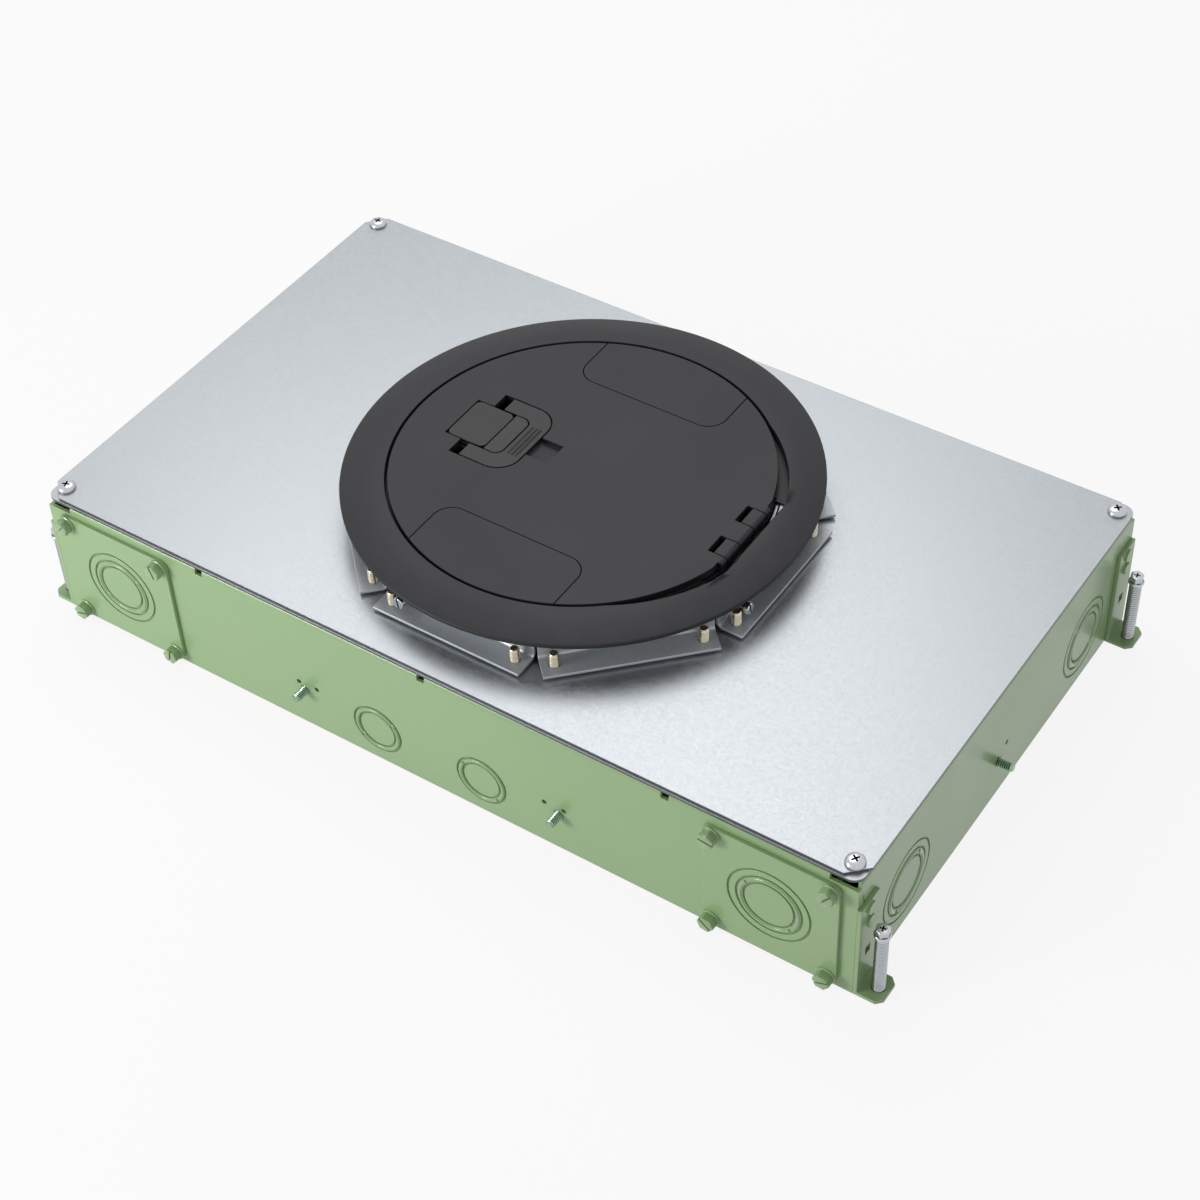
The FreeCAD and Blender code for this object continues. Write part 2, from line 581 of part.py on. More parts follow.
def box_body():
    body = new_body("box")
    half_x = S.box_length / 2
    outline = new_sketch(body, "box_outline", "XY_Plane")
    rectangle(outline, -half_x, -front, half_x, front)
    pad(body, outline, S.box_height)
    top = S.box_height.value
    rounded(body, S.bend_radius, lambda e: not upright(e) and all(
        abs(v.Point.z - top) < 1e-6 for v in e.Vertexes))
    # The inside, up to the sheet of the lips, and the opening between the lips.
    inside = new_sketch(body, "box_inside", "XY_Plane", S.box_height - S.box_sheet)
    rectangle(inside, S.box_sheet - half_x, S.box_sheet - front,
              half_x - S.box_sheet, front - S.box_sheet)
    pocket(body, inside, S.box_height - 2 * S.box_sheet)
    mouth = new_sketch(body, "box_mouth", "XY_Plane", S.box_height)
    rectangle(mouth, S.lip_width - half_x, S.lip_width - front,
              half_x - S.lip_width, front - S.lip_width)
    pocket(body, mouth, S.box_sheet * 2)
    # Relief notches in the long bends, and the corners where those bends stop.
    notches = new_sketch(body, "bend_notches", "XZ_Plane")
    for step in (-1, 0, 1):
        middle = step * notch_x
        rectangle(notches, middle - S.notch_width / 2, S.box_height - S.notch_depth,
                  middle + S.notch_width / 2, S.box_height)
    pocket(body, notches)
    for sx in (-1, 1):
        for sy in (-1, 1):
            middle = half_x - S.lip_end_gap
            slit_in = sx * (middle - S.notch_width / 2)
            slit_out = sx * (middle + S.notch_width / 2)
            corner = new_sketch(body, "bend_end_%d%d" % (sx + 1, sy + 1), "XY_Plane", S.box_height)
            polygon(corner, [(slit_in, sy * (front - S.lip_width - 1)), (slit_out, sy * (front - S.lip_width - 1)),
                             (slit_out, sy * (front - S.bend_radius)), (sx * (half_x + 1), sy * (front - S.bend_radius)),
                             (sx * (half_x + 1), sy * (front + 1)), (slit_in, sy * (front + 1))])
            pocket(body, corner, S.notch_depth)
    # Windows behind the knockout plates, with the plates' screw holes.
    windows = new_sketch(body, "plate_windows", "XZ_Plane")
    for sx in (-1, 1):
        centre = sx * ko_plate_x
        half = S.ko_window / 2
        rectangle(windows, centre - half, S.ko_plate_level - half, centre + half, S.ko_plate_level + half)
        for px in (-1, 1):
            for pz in (-1, 1):
                circle(windows, centre + px * S.plate_screw_pitch_x / 2,
                       S.ko_plate_level + pz * S.plate_screw_pitch_z / 2,
                       S.plate_screw_radius + S.thread_gap)
        circle(windows, sx * S.ground_screw_x, S.ground_screw_z, S.ground_screw_radius + S.thread_gap)
        for x in (S.ground_screw_x - S.pilot_inner, S.ground_screw_x + S.pilot_outer):
            circle(windows, sx * x, S.ground_screw_z + S.pilot_rise, S.pilot_radius)
    pocket(body, windows)
    # Knockout rings on both long sides and both ends.
    for sign, far_side in ((1, False), (-1, True)):
        name = "rear" if far_side else "front"
        rings = new_sketch(body, name + "_rings", "XZ_Plane", sign * front)
        for sx in (-1, 1):
            x = sx * S.small_ko_pitch / 2
            ring_pair(rings, x, S.small_ko_height, S.small_ko_radius)
            ring_pair(rings, x, S.small_ko_height, S.small_ko_inner)
        pocket(body, rings, S.ring_depth, other_way=far_side)
        name = "left" if far_side else "right"
        rings = new_sketch(body, name + "_rings", "YZ_Plane", sign * half_x)
        for sy in (-1, 1):
            y = sy * end_ko_y
            for radius in (S.large_ko_radius, S.large_ko_middle, S.large_ko_inner):
                ring_pair(rings, y, S.end_ko_height, radius)
        pocket(body, rings, S.ring_depth, other_way=far_side)
    # Holes for the end walls' ground screws and the brackets' rivets.
    ends = new_sketch(body, "end_holes", "YZ_Plane")
    circle(ends, 0, S.ground_screw_z, S.ground_screw_radius + S.thread_gap)
    circle(ends, S.pilot_inner, S.ground_screw_z + S.end_pilot_rise, S.pilot_radius)
    for sy in (-1, 1):
        for step in (0, 1):
            circle(ends, sy * (front - S.bracket_width / 2), S.rivet_low + step * S.rivet_pitch,
                   S.rivet_radius + S.thread_gap)
    pocket(body, ends)
    # Threaded holes in the lips for the cover screws.
    taps = new_sketch(body, "lip_holes", "XY_Plane", S.box_height)
    for sx in (-1, 1):
        for sy in (-1, 1):
            circle(taps, sx * cover_screw_x, sy * cover_screw_y, S.cover_screw_radius + S.thread_gap)
    pocket(body, taps, S.box_sheet * 2)
    return keep("box_body", body)


def knockout_plate(label, sx, sy):
    """Removable plate on a long side, with its concentric knockout."""
    body = new_body(label)
    level = front if sy < 0 else -front
    outline = new_sketch(body, label + "_outline", "XZ_Plane", level)
    centre = sx * ko_plate_x
    half_x = S.ko_plate_width / 2
    half_z = S.ko_plate_height / 2
    rectangle(outline, centre - half_x, S.ko_plate_level - half_z, centre + half_x, S.ko_plate_level + half_z)
    plate = pad(body, outline, S.ko_plate_sheet)
    plate.Reversed = sy > 0
    rounded(body, S.ko_plate_corner, lambda e: along(e, FreeCAD.Vector(0, 1, 0)))
    holes = new_sketch(body, label + "_holes", "XZ_Plane")
    for px in (-1, 1):
        for pz in (-1, 1):
            circle(holes, centre + px * S.plate_screw_pitch_x / 2,
                   S.ko_plate_level + pz * S.plate_screw_pitch_z / 2,
                   S.plate_screw_radius + S.cover_screw_slack)
    pocket(body, holes)
    outer = front + S.ko_plate_sheet
    rings = new_sketch(body, label + "_rings", "XZ_Plane", outer if sy < 0 else -outer)
    for radius in (S.large_ko_radius, S.large_ko_middle, S.large_ko_inner):
        ring_pair(rings, centre, S.ko_plate_level, radius)
    pocket(body, rings, S.ring_depth, other_way=sy > 0)
    return keep(label, body)


def knockout_plate_screws():
    """Hexagon washer head screws, drawn head up with the washer's underside at z = 0."""
    shank = rod("plate_screw_shank", "-Z", (0, 0, 0), S.plate_screw_radius, S.plate_screw_length)
    washer = rod("plate_screw_washer_face", "+Z", (0, 0, 0), S.plate_screw_washer, 1.0)
    head = hexagon_prism("plate_screw_hexagon", S.plate_screw_hex, S.plate_screw_head, 1.0)
    master = fuse("plate_screw", shank, washer, head)
    spots = []
    for sy, axis in ((-1, "-Y"), (1, "+Y")):
        for sx in (-1, 1):
            for px in (-1, 1):
                for pz in (-1, 1):
                    x = sx * ko_plate_x + px * S.plate_screw_pitch_x / 2
                    z = S.ko_plate_level + pz * S.plate_screw_pitch_z / 2
                    spots.append(at(x, sy * (front + S.ko_plate_sheet), z, axis))
    return copies("knockout_plate_screws", master, spots)


def ground_screws():
    """Green screws driven from the inside; drawn with the wall's outer face at z = 0."""
    shank = rod("ground_shank", "-Z", (0, 0, S.ground_screw_stand), S.ground_screw_radius,
                S.ground_screw_stand + S.box_sheet)
    head = rod("ground_head", "-Z", (0, 0, -S.box_sheet), S.ground_screw_head, 3.0)
    master = fuse("ground_screw", shank, head)
    half_x = S.box_length / 2
    spots = [at(half_x, 0, S.ground_screw_z, "+X"), at(-half_x, 0, S.ground_screw_z, "-X")]
    for sx in (-1, 1):
        spots.append(at(sx * S.ground_screw_x, -front, S.ground_screw_z, "-Y"))
        spots.append(at(sx * S.ground_screw_x, front, S.ground_screw_z, "+Y"))
    return copies("ground_screws", master, spots)


# ---------------------------------------------------------------- levelling feet
def levelling_bracket(label, sx, sy):
    """L bracket at a corner: a leg on the end wall and a foot with a threaded hole."""
    body = new_body(label)
    half_x = S.box_length / 2
    profile = new_sketch(body, label + "_profile", "XZ_Plane", -(sy * front) if sy > 0 else front)
    polygon(profile, [(sx * half_x, 0), (sx * (leg_face + S.bracket_reach), 0),
                      (sx * (leg_face + S.bracket_reach), S.bracket_sheet),
                      (sx * leg_face, S.bracket_sheet), (sx * leg_face, S.bracket_height),
                      (sx * half_x, S.bracket_height)])
    leg = pad(body, profile, S.bracket_width)
    leg.Reversed = sy < 0
    tip = abs((leg_face + S.bracket_reach).value)
    chamfer_base = body.Tip
    doc.recompute()
    names = ["Edge%d" % (i + 1) for i, edge in enumerate(chamfer_base.Shape.Edges)
             if upright(edge) and abs(abs(edge.Vertexes[0].Point.x) - tip) < 1e-6]
    corners = body.newObject("PartDesign::Chamfer", label + "_corners")
    corners.Base = (chamfer_base, names)
    bind(corners, "Size", S.bracket_chamfer)
    body.Tip = corners
    hole = new_sketch(body, label + "_hole", "XY_Plane", S.bracket_sheet)
    circle(hole, sx * (leg_face + S.level_screw_x), sy * (front - S.level_screw_y),
           S.level_screw_radius + S.thread_gap)
    pocket(body, hole, S.bracket_sheet)
    # The slot and the two rivet holes in the leg.
    holes = new_sketch(body, label + "_leg_holes", "YZ_Plane")
    y = sy * (front - S.bracket_width / 2)
    half = S.bracket_slot_length / 2 - S.bracket_slot_radius
    rectangle(holes, y - S.bracket_slot_radius, S.bracket_slot_level - half,
              y + S.bracket_slot_radius, S.bracket_slot_level + half)
    for step in (0, 1):
        circle(holes, y, S.rivet_low + step * S.rivet_pitch, S.rivet_radius + S.thread_gap)
    pocket(body, holes)
    return keep(label, body)


def bracket_rivets():
    """Two rivets in each leg, drawn with the leg's outer face at z = 0."""
    shank = rod("rivet_shank", "-Z", (0, 0, 0), S.rivet_radius, S.bracket_sheet + S.box_sheet)
    dome = rod("rivet_dome", "+Z", (0, 0, 0), S.rivet_head, 1.2)
    tail = rod("rivet_tail", "-Z", (0, 0, -(S.bracket_sheet + S.box_sheet)), S.rivet_head, 1.0)
    master = fuse("rivet", shank, dome, tail)
    spots = []
    for sx, axis in ((-1, "-X"), (1, "+X")):
        for sy in (-1, 1):
            for step in (0, 1):
                z = S.rivet_low + step * S.rivet_pitch
                spots.append(at(sx * leg_face, sy * (front - S.bracket_width / 2), z, axis))
    return copies("bracket_rivets", master, spots)


def levelling_screw(label, sx, sy):
    """Upright screw that jacks the box; its tip is level with the underside."""
    x = sx * (leg_face + S.level_screw_x)
    y = sy * (front - S.level_screw_y)
    top = S.level_screw_length
    thread = rod(label + "_thread", "+Z", (x, y, 0), S.level_screw_radius, top)
    washer = rod(label + "_washer", "+Z", (x, y, top), S.level_screw_washer, 1.2)
    head = hexagon_prism(label + "_head", S.level_screw_hex, S.level_screw_head, top + 1.2)
    place(head, x, y, top + 1.2)
    return keep(label, fuse(label + "_screw", thread, washer, head))


# ---------------------------------------------------------------- cover plates
def cover_plate(label, over_x, over_y, level, corner, chamfered):
    body = new_body(label)
    half_x = S.box_length / 2 + over_x
    half_y = S.box_width / 2 + over_y
    outline = new_sketch(body, label + "_outline", "XY_Plane", level)
    if chamfered:
        polygon(outline, [(corner - half_x, -half_y), (half_x - corner, -half_y),
                          (half_x, corner - half_y), (half_x, half_y - corner),
                          (half_x - corner, half_y), (corner - half_x, half_y),
                          (-half_x, half_y - corner), (-half_x, corner - half_y)])
    else:
        rectangle(outline, -half_x, -half_y, half_x, half_y)
    circle(outline, 0, 0, S.riser_radius + S.riser_slack)
    for sx in (-1, 1):
        for sy in (-1, 1):
            circle(outline, sx * cover_screw_x, sy * cover_screw_y,
                   S.cover_screw_radius + S.cover_screw_slack)
    pad(body, outline, S.plate_sheet)
    if not chamfered:
        rounded(body, corner, upright)
    return keep(label, body)


def cover_screws():
    shank = rod("cover_shank", "-Z", (0, 0, 0), S.cover_screw_radius, S.cover_screw_length)
    head = rod("cover_head", "+Z", (0, 0, 0), S.cover_screw_head, S.cover_screw_rise)
    master = fuse("cover_screw", shank, head)
    spots = [at(sx * cover_screw_x, sy * cover_screw_y, deck) for sx in (-1, 1) for sy in (-1, 1)]
    return copies("cover_screws", master, spots)


def riser_sleeve():
    """Sleeve through the cover plates; its flange is welded under the lower one."""
    body = new_body("riser")
    profile = new_sketch(body, "riser_profile", "XZ_Plane")
    inner = S.riser_radius - S.riser_sheet
    low = S.box_height - S.riser_sheet
    top = deck + S.riser_rise
    polygon(profile, [(inner, low), (S.riser_radius + S.riser_flange, low), (S.riser_radius + S.riser_flange, S.box_height),
                      (S.riser_radius, S.box_height), (S.riser_radius, top), (inner, top)])
    turn_about_z(body, profile)
    return keep("riser_sleeve", body)


def turn_about_z(body, sketch):
    feature = body.newObject("PartDesign::Revolution", sketch.Name + "_turn")
    feature.Profile = sketch
    feature.ReferenceAxis = (sketch, ["V_Axis"])
    feature.Angle = 360.0
    body.Tip = feature
    return feature


# ---------------------------------------------------------------- collar
OCTAGON_TAN = math.tan(math.pi / 8)     # half a side of an octagon over its apothem
FLANGE_SCREW_SIDES = (0, 2, 4, 6)       # the flange's screws stand at the corners after these sides


def octagon_collar():
    """One folded sheet: a top ring, eight walls bent down and eight feet bent out."""
    body = new_body("collar")
    top = deck + S.collar_rise
    inner = collar_apothem - S.collar_sheet
    foot_low = deck + S.foot_float
    foot_high = foot_low + S.collar_sheet
    # One wall with its foot, drawn from the side as a folded strip.
    strip = new_sketch(body, "collar_strip", "XZ_Plane", -(inner * OCTAGON_TAN - S.collar_gap / 2))
    polygon(strip, [(inner, foot_low), (foot_apothem, foot_low), (foot_apothem, foot_high),
                    (collar_apothem, foot_high), (collar_apothem, top), (inner, top)])
    wall = pad(body, strip, 2 * (inner * OCTAGON_TAN) - S.collar_gap)
    around = body.newObject("PartDesign::PolarPattern", "collar_sides")
    around.Originals = [wall]
    axis = [a for a in body.Origin.OriginFeatures if a.Role == "Z_Axis"][0]
    around.Axis = (axis, [""])
    around.Angle = 360.0
    around.Occurrences = 8
    body.Tip = around
    rounded(body, S.foot_bend - S.collar_sheet, bend_at(collar_apothem, foot_high))
    rounded(body, S.foot_bend, bend_at(inner, foot_low))
    # The top ring joins the walls.
    ring = new_sketch(body, "collar_ring", "XY_Plane", top - S.collar_sheet)
    side = inner * OCTAGON_TAN
    polygon(ring, [(inner, -side), (inner, side), (side, inner), (-side, inner),
                   (-inner, side), (-inner, -side), (-side, -inner), (side, -inner)])
    circle(ring, 0, 0, S.riser_radius + S.collar_slack)
    pad(body, ring, S.collar_sheet)
    # Holes for the set screws in the feet and the clamp screws in four walls.
    holes = new_sketch(body, "collar_set_holes", "XY_Plane", foot_high)
    for k in range(8):
        for side_sign in (-1, 1):
            x, y = on_octagon(k, set_screw_apothem, side_sign * S.set_screw_pitch / 2)
            circle(holes, x, y, S.set_screw_radius + S.thread_gap)
    pocket(body, holes, S.collar_sheet)
    for k in FLANGE_SCREW_SIDES:
        hole = new_sketch(body, "collar_ring_hole_%d" % k, "XY_Plane", top)
        circle(hole, *on_octagon(k + 0.5, flange_screw_apothem, as_size(0)), S.flange_screw_radius + S.collar_slack)
        pocket(body, hole, S.collar_sheet)
    for role in ("YZ_Plane", "XZ_Plane"):
        hole = new_sketch(body, "collar_clamp_" + role[:2].lower(), role)
        circle(hole, -S.clamp_offset, deck + S.clamp_level, S.clamp_radius + S.thread_gap)
        pocket(body, hole)
    return keep("octagon_collar", body)


def bend_at(apothem, level):
    """Picks the level straight edges of an octagon with this apothem."""
    apothem = apothem.value
    level = level.value

    def wanted(edge):
        ends = [v.Point for v in edge.Vertexes]
        if len(ends) != 2 or any(abs(end.z - level) > 1e-4 for end in ends):
            return False
        run = ends[1] - ends[0]
        away = abs(ends[0].x * run.y - ends[0].y * run.x) / run.Length
        return run.Length > apothem / 2 and abs(away - apothem) < 1e-3
    return wanted


def on_octagon(k, apothem, offset):
    """Point at an apothem and a sideways offset on side k, counted from +X."""
    c = math.cos(math.pi * k / 4)
    s = math.sin(math.pi * k / 4)
    return apothem * c - offset * s, apothem * s + offset * c


def levelling_set_screws():
    """Socket set screws; their tips stand on the upper cover plate."""
    stud = rod("set_stud", "+Z", (0, 0, 0), S.set_screw_radius, S.set_screw_length)
    socket = hexagon_prism("set_socket", S.set_screw_socket, 3.0, S.set_screw_length - 2.5)
    master = cut("set_screw", stud, socket)
    spots = []
    for k in range(8):
        for side_sign in (-1, 1):
            x, y = on_octagon(k, set_screw_apothem, side_sign * S.set_screw_pitch / 2)
            spots.append(at(x, y, deck))
    return copies("levelling_set_screws", master, spots)


def clamp_screws():
    """Four screws through the collar's walls; they grip the riser sleeve."""
    near_edge = S.clamp_offset.value - S.clamp_radius.value
    tip = as_size(math.sqrt(S.riser_radius.value ** 2 - near_edge ** 2) + 0.3)
    reach = collar_apothem + S.clamp_stand
    shank = rod("clamp_shank", "+Z", (0, 0, tip), S.clamp_radius, reach - tip)
    head = rod("clamp_head_end", "+Z", (0, 0, reach), S.clamp_head, S.clamp_head_length)
    master = fuse("clamp_screw", shank, head)
    level = deck + S.clamp_level
    spots = [at(0, -S.clamp_offset, level, "+X"), at(0, -S.clamp_offset, level, "-X"),
             at(-S.clamp_offset, 0, level, "-Y"), at(-S.clamp_offset, 0, level, "+Y")]
    return copies("collar_clamp_screws", master, spots)


# ---------------------------------------------------------------- trim flange
def relief(sketch, grow=0):
    """The opening's wider outline at the hinge: an arc closed by a flat."""
    centre, radius, flat = S.relief_centre, relief_radius + grow, relief_flat + grow
    half = math.sqrt(radius.value ** 2 - (flat - centre).value ** 2)
    start = math.atan2(half, (flat - centre).value)
    middle = FreeCAD.Vector(centre.value, 0, 0)
    round_edge = Part.ArcOfCircle(Part.Circle(middle, FreeCAD.Vector(0, 0, 1), radius.value),
                                  start, 2 * math.pi - start)
    arc = sketch.addGeometry(round_edge)
    line = sketch.addGeometry(Part.LineSegment(FreeCAD.Vector(flat.value, -half, 0),
                                               FreeCAD.Vector(flat.value, half, 0)))
    sketch.addConstraint(Sketcher.Constraint("Coincident", arc, 2, line, 1))
    sketch.addConstraint(Sketcher.Constraint("Coincident", line, 2, arc, 1))
    sketch.addConstraint(Sketcher.Constraint("Vertical", line))
    sketch.addConstraint(Sketcher.Constraint("PointOnObject", arc, 3, -1))
    fix(sketch, "DistanceX", -1, 1, arc, 3, centre)
    fix(sketch, "DistanceX", -1, 1, line, 1, flat)
    fix(sketch, "Radius", arc, radius)


def trim_flange():
    """Cast ring: a sloped rim, the lid's seat, a skirt and the hinge knuckles."""
    body = new_body("flange")
    under = deck + S.collar_rise
    rim_top = deck + S.flange_rim_rise
    skirt_inner = skirt_radius - S.skirt_wall
    profile = new_sketch(body, "flange_profile", "XZ_Plane")
    polygon(profile, [
        (ledge_radius, ledge_under), (skirt_inner, ledge_under),
        (skirt_inner, under - S.skirt_drop), (skirt_radius, under - S.skirt_drop),
        (skirt_radius, under), (flange_radius - 4, under),
        (flange_radius, rim_top - S.flange_rim), (flange_radius, rim_top),
        (crown_radius, crown), (opening_radius, crown),
        (opening_radius, ledge_top), (ledge_radius, ledge_top)])
    turn_about_z(body, profile)
    rounded(body, S.flange_dome, circle_at(crown_radius, crown))
    rounded(body, S.flange_edge, circle_at(flange_radius, rim_top))
    # The opening is wider at the hinge, with a flat side.
    wide = new_sketch(body, "flange_relief", "XY_Plane", crown)
    relief(wide)
    pocket(body, wide, crown - ledge_top)
    # The ledge and skirt are cut away under the hinge.
    room = new_sketch(body, "flange_hinge_room", "XY_Plane", ledge_top)
    rectangle(room, hinge_x - S.knuckle_reach - 3.0, -hinge_room, skirt_radius - 0.5, hinge_room)
    pocket(body, room, S.skirt_drop)
    return body


def frame_with_knuckles():
    """The flange with its hinge block and two knuckles."""
    flange = trim_flange()
    under = deck + S.collar_rise
    low = under - S.skirt_drop
    block_top = hinge_z - S.hinge_drop - S.hinge_block_gap
    base = block("hinge_block_blank", (hinge_x - S.knuckle_reach, -hinge_room, low), (skirt_radius, hinge_room, block_top))
    skirt = rod("hinge_block_round", "+Z", (0, 0, low), skirt_radius, block_top - low)
    pieces = [flange, common("hinge_block", base, skirt)]
    bores = []
    for sy, name in ((-1, "front"), (1, "rear")):
        y0 = sy * S.knuckle_centre - S.knuckle_width / 2
        y1 = sy * S.knuckle_centre + S.knuckle_width / 2
        pieces.append(rod(name + "_knuckle", "+Y", (hinge_x, y0, hinge_z), S.hinge_drop, S.knuckle_width))
        pieces.append(block(name + "_knuckle_web", (hinge_x - S.knuckle_reach, y0, block_top - 4.0),
                            (hinge_x + S.hinge_drop, y1, hinge_z)))
        pieces.append(block(name + "_knuckle_arm", (hinge_x - S.knuckle_reach, y0, hinge_z),
                            (hinge_x, y1, crown)))
        bores.append(rod(name + "_knuckle_bore", "+Y", (hinge_x, y0 - 1, hinge_z),
                         S.hinge_pin_radius + S.thread_gap, S.knuckle_width + 2))
    for k in FLANGE_SCREW_SIDES:
        x, y = on_octagon(k + 0.5, flange_screw_apothem, as_size(0))
        bores.append(rod("flange_bore_%d" % k, "+Z", (x, y, under - 1), S.flange_screw_radius + S.thread_gap,
                         S.flange_screw_depth + 1.2))
    return keep("trim_flange", cut("flange_bored", fuse("flange_joined", *pieces), *bores))


def flange_fixing_screws():
    """Screws from below, through the collar's top ring into the flange."""
    shank = rod("flange_shank", "+Z", (0, 0, -S.collar_sheet), S.flange_screw_radius,
                S.collar_sheet + S.flange_screw_depth)
    head = rod("flange_screw_pan", "-Z", (0, 0, -S.collar_sheet), S.flange_screw_head, 2.0)
    master = fuse("flange_screw", shank, head)
    spots = []
    for k in FLANGE_SCREW_SIDES:
        x, y = on_octagon(k + 0.5, flange_screw_apothem, as_size(0))
        spots.append(at(x, y, deck + S.collar_rise))
    return copies("flange_fixing_screws", master, spots)


def lid_gasket():
    """Flat ring on the ledge, cut away at the hinge."""
    body = new_body("gasket")
    outline = new_sketch(body, "gasket_outline", "XY_Plane", ledge_top)
    circle(outline, 0, 0, opening_radius - 0.8)
    circle(outline, 0, 0, gasket_inner)
    pad(body, outline, S.gasket_thickness)
    room = new_sketch(body, "gasket_hinge_room", "XY_Plane", lid_under)
    rectangle(room, hinge_x - S.gasket_hinge_room, -hinge_room - 1.0, opening_radius + 2.0, hinge_room + 1.0)
    pocket(body, room, S.gasket_thickness)
    return keep("lid_gasket", body)


# ---------------------------------------------------------------- lid
def lid():
    body = new_body("lid")
    disc = new_sketch(body, "lid_disc", "XY_Plane", lid_under)
    circle(disc, 0, 0, lid_radius)
    pad(body, disc, S.lid_thickness)
    # The hinge side: a chord at the barrel, and two pockets for the frame's knuckles.
    chord = new_sketch(body, "lid_chord", "XY_Plane", crown)
    rectangle(chord, hinge_x, -S.hinge_half_width - 6.0, lid_radius + 1.0, S.hinge_half_width + 6.0)
    pocket(body, chord, S.lid_thickness)
    # Cable doors' openings.
    half = S.door_half_width + S.door_gap
    near = S.door_chord - S.door_gap
    far = lid_radius + 2.0
    for sy, name in ((-1, "front"), (1, "rear")):
        gap = new_sketch(body, "lid_%s_door" % name, "XY_Plane", crown)
        rectangle(gap, -half, sy * near, half, sy * far)
        pocket(body, gap, S.lid_thickness)
    rounded(body, S.door_corner + S.door_gap, corner_at(half, near))
    # Recess of the bail, with open pockets behind its pivots, and the latch cap's recess.
    bail_low = S.bail_thickness + 0.3
    recess = new_sketch(body, "bail_recess", "XY_Plane", crown)
    bail_outline(recess, S.bail_gap)
    pocket(body, recess, bail_low)
    rounded(body, S.bail_corner + S.bail_gap,
            corner_at(S.bail_tip_x - S.bail_gap, S.bail_half_width + S.bail_gap))
    rounded(body, S.bail_inner_corner - S.bail_gap,
            corner_at(S.bail_tip_x + S.bail_bar + S.bail_gap, S.bail_half_width - S.bail_arm - S.bail_gap))
    tails = new_sketch(body, "bail_pockets", "XY_Plane", crown)
    arm_in = S.bail_half_width - S.bail_arm - S.bail_gap
    arm_out = S.bail_half_width + S.bail_gap
    for sy in (-1, 1):
        rectangle(tails, -(S.bail_pivot_x + S.pocket_tail), sy * arm_in,
                  -(S.bail_pivot_x - 3.0), sy * arm_out)
    pocket(body, tails, S.lid_thickness)
    cap = new_sketch(body, "cap_recess", "XY_Plane", crown)
    rectangle(cap, -(S.cap_far_x + S.cap_gap), -(S.cap_half_width + S.cap_gap),
              -(S.cap_near_x - S.cap_gap), S.cap_half_width + S.cap_gap)
    pocket(body, cap, S.cap_thickness)
    doc.recompute()
    return body


def bail_outline(sketch, grow):
    """U of the bail, seen from above, opening towards -X, before its corners are rounded."""
    tip = -S.bail_tip_x + grow
    tail = -(S.bail_pivot_x + S.bail_tail) - grow
    out = S.bail_half_width + grow
    inner = S.bail_half_width - S.bail_arm - grow
    bar = -S.bail_tip_x - S.bail_bar - grow
    polygon(sketch, [(tail, -out), (tip, -out), (tip, out), (tail, out),
                     (tail, inner), (bar, inner), (bar, -inner), (tail, -inner)])


def lid_with_barrels():
    """Adds the hinge barrel, the latch boss and the bores to the lid."""
    plate = lid()
    pieces = [plate]
    cuts = []
    inner = S.knuckle_centre - S.knuckle_width / 2 - S.knuckle_gap
    outer = S.knuckle_centre + S.knuckle_width / 2 + S.knuckle_gap
    spans = [("middle", -inner, inner), ("front", -S.hinge_half_width, -outer), ("rear", outer, S.hinge_half_width)]
    for name, y0, y1 in spans:
        pieces.append(rod(name + "_barrel", "+Y", (hinge_x, y0, hinge_z), S.hinge_drop, as_size(y1) - y0))
    for sy, name in ((-1, "front"), (1, "rear")):
        low, high = sorted((sy * inner, sy * outer), key=lambda v: v.value)
        cuts.append(block(name + "_pocket", (hinge_x - S.knuckle_pocket, low, lid_under - 6),
                          (lid_radius, high, crown + 1)))
        for sx, axis in ((-1, "-X"), (1, "+X")):
            start = (sx * S.door_half_width, sy * door_axis_y, door_axis_z)
            cuts.append(rod("%s_door_bore_%d" % (name, sx), axis, start, S.door_pin_radius + S.thread_gap,
                            S.door_gap + S.door_pin_reach + 0.2))
    # Boss that carries the latch bolt, under the cap.
    pieces.append(block("latch_boss", (-boss_far, -boss_half, boss_low), (-boss_near, boss_half, lid_under)))
    cuts.append(rod("lid_pin_bore", "+Y", (hinge_x, -S.hinge_half_width - 1, hinge_z),
                    S.hinge_pin_radius + S.thread_gap, 2 * S.hinge_half_width + 2))
    for sy in (-1, 1):
        start = sy * S.bail_half_width
        cuts.append(rod("bail_bore_%d" % sy, "+Y" if sy > 0 else "-Y",
                        (-S.bail_pivot_x, start, bail_axis_z), S.bail_pin_radius + S.thread_gap,
                        S.bail_pin_length + 0.5))
        cuts.append(rod("guide_hole_%d" % sy, "+Z", (-guide_x, sy * guide_screw_y, boss_low - 1),
                        S.guide_screw_radius + S.thread_gap, 5.0))
    cuts.append(finger_pocket())
    return keep("lid", cut("lid_cut", fuse("lid_joined", *pieces), *cuts))


def finger_pocket():
    """Wedge in front of the bail with a sloped floor."""
    wedge = doc.addObject("Part::Wedge", "finger_pocket")
    bind(wedge, "Xmin", 0)
    bind(wedge, "Xmax", S.finger_length)
    bind(wedge, "X2min", 0)
    bind(wedge, "X2max", S.finger_length)
    bind(wedge, "Ymin", 0)
    bind(wedge, "Ymax", 2 * S.finger_half_width)
    bind(wedge, "Zmin", 0)
    bind(wedge, "Zmax", S.finger_depth + 1)
    bind(wedge, "Z2min", 0)
    bind(wedge, "Z2max", S.finger_depth + 1)
    place(wedge, -S.bail_tip_x, -S.finger_half_width, crown - S.finger_depth)
    return wedge


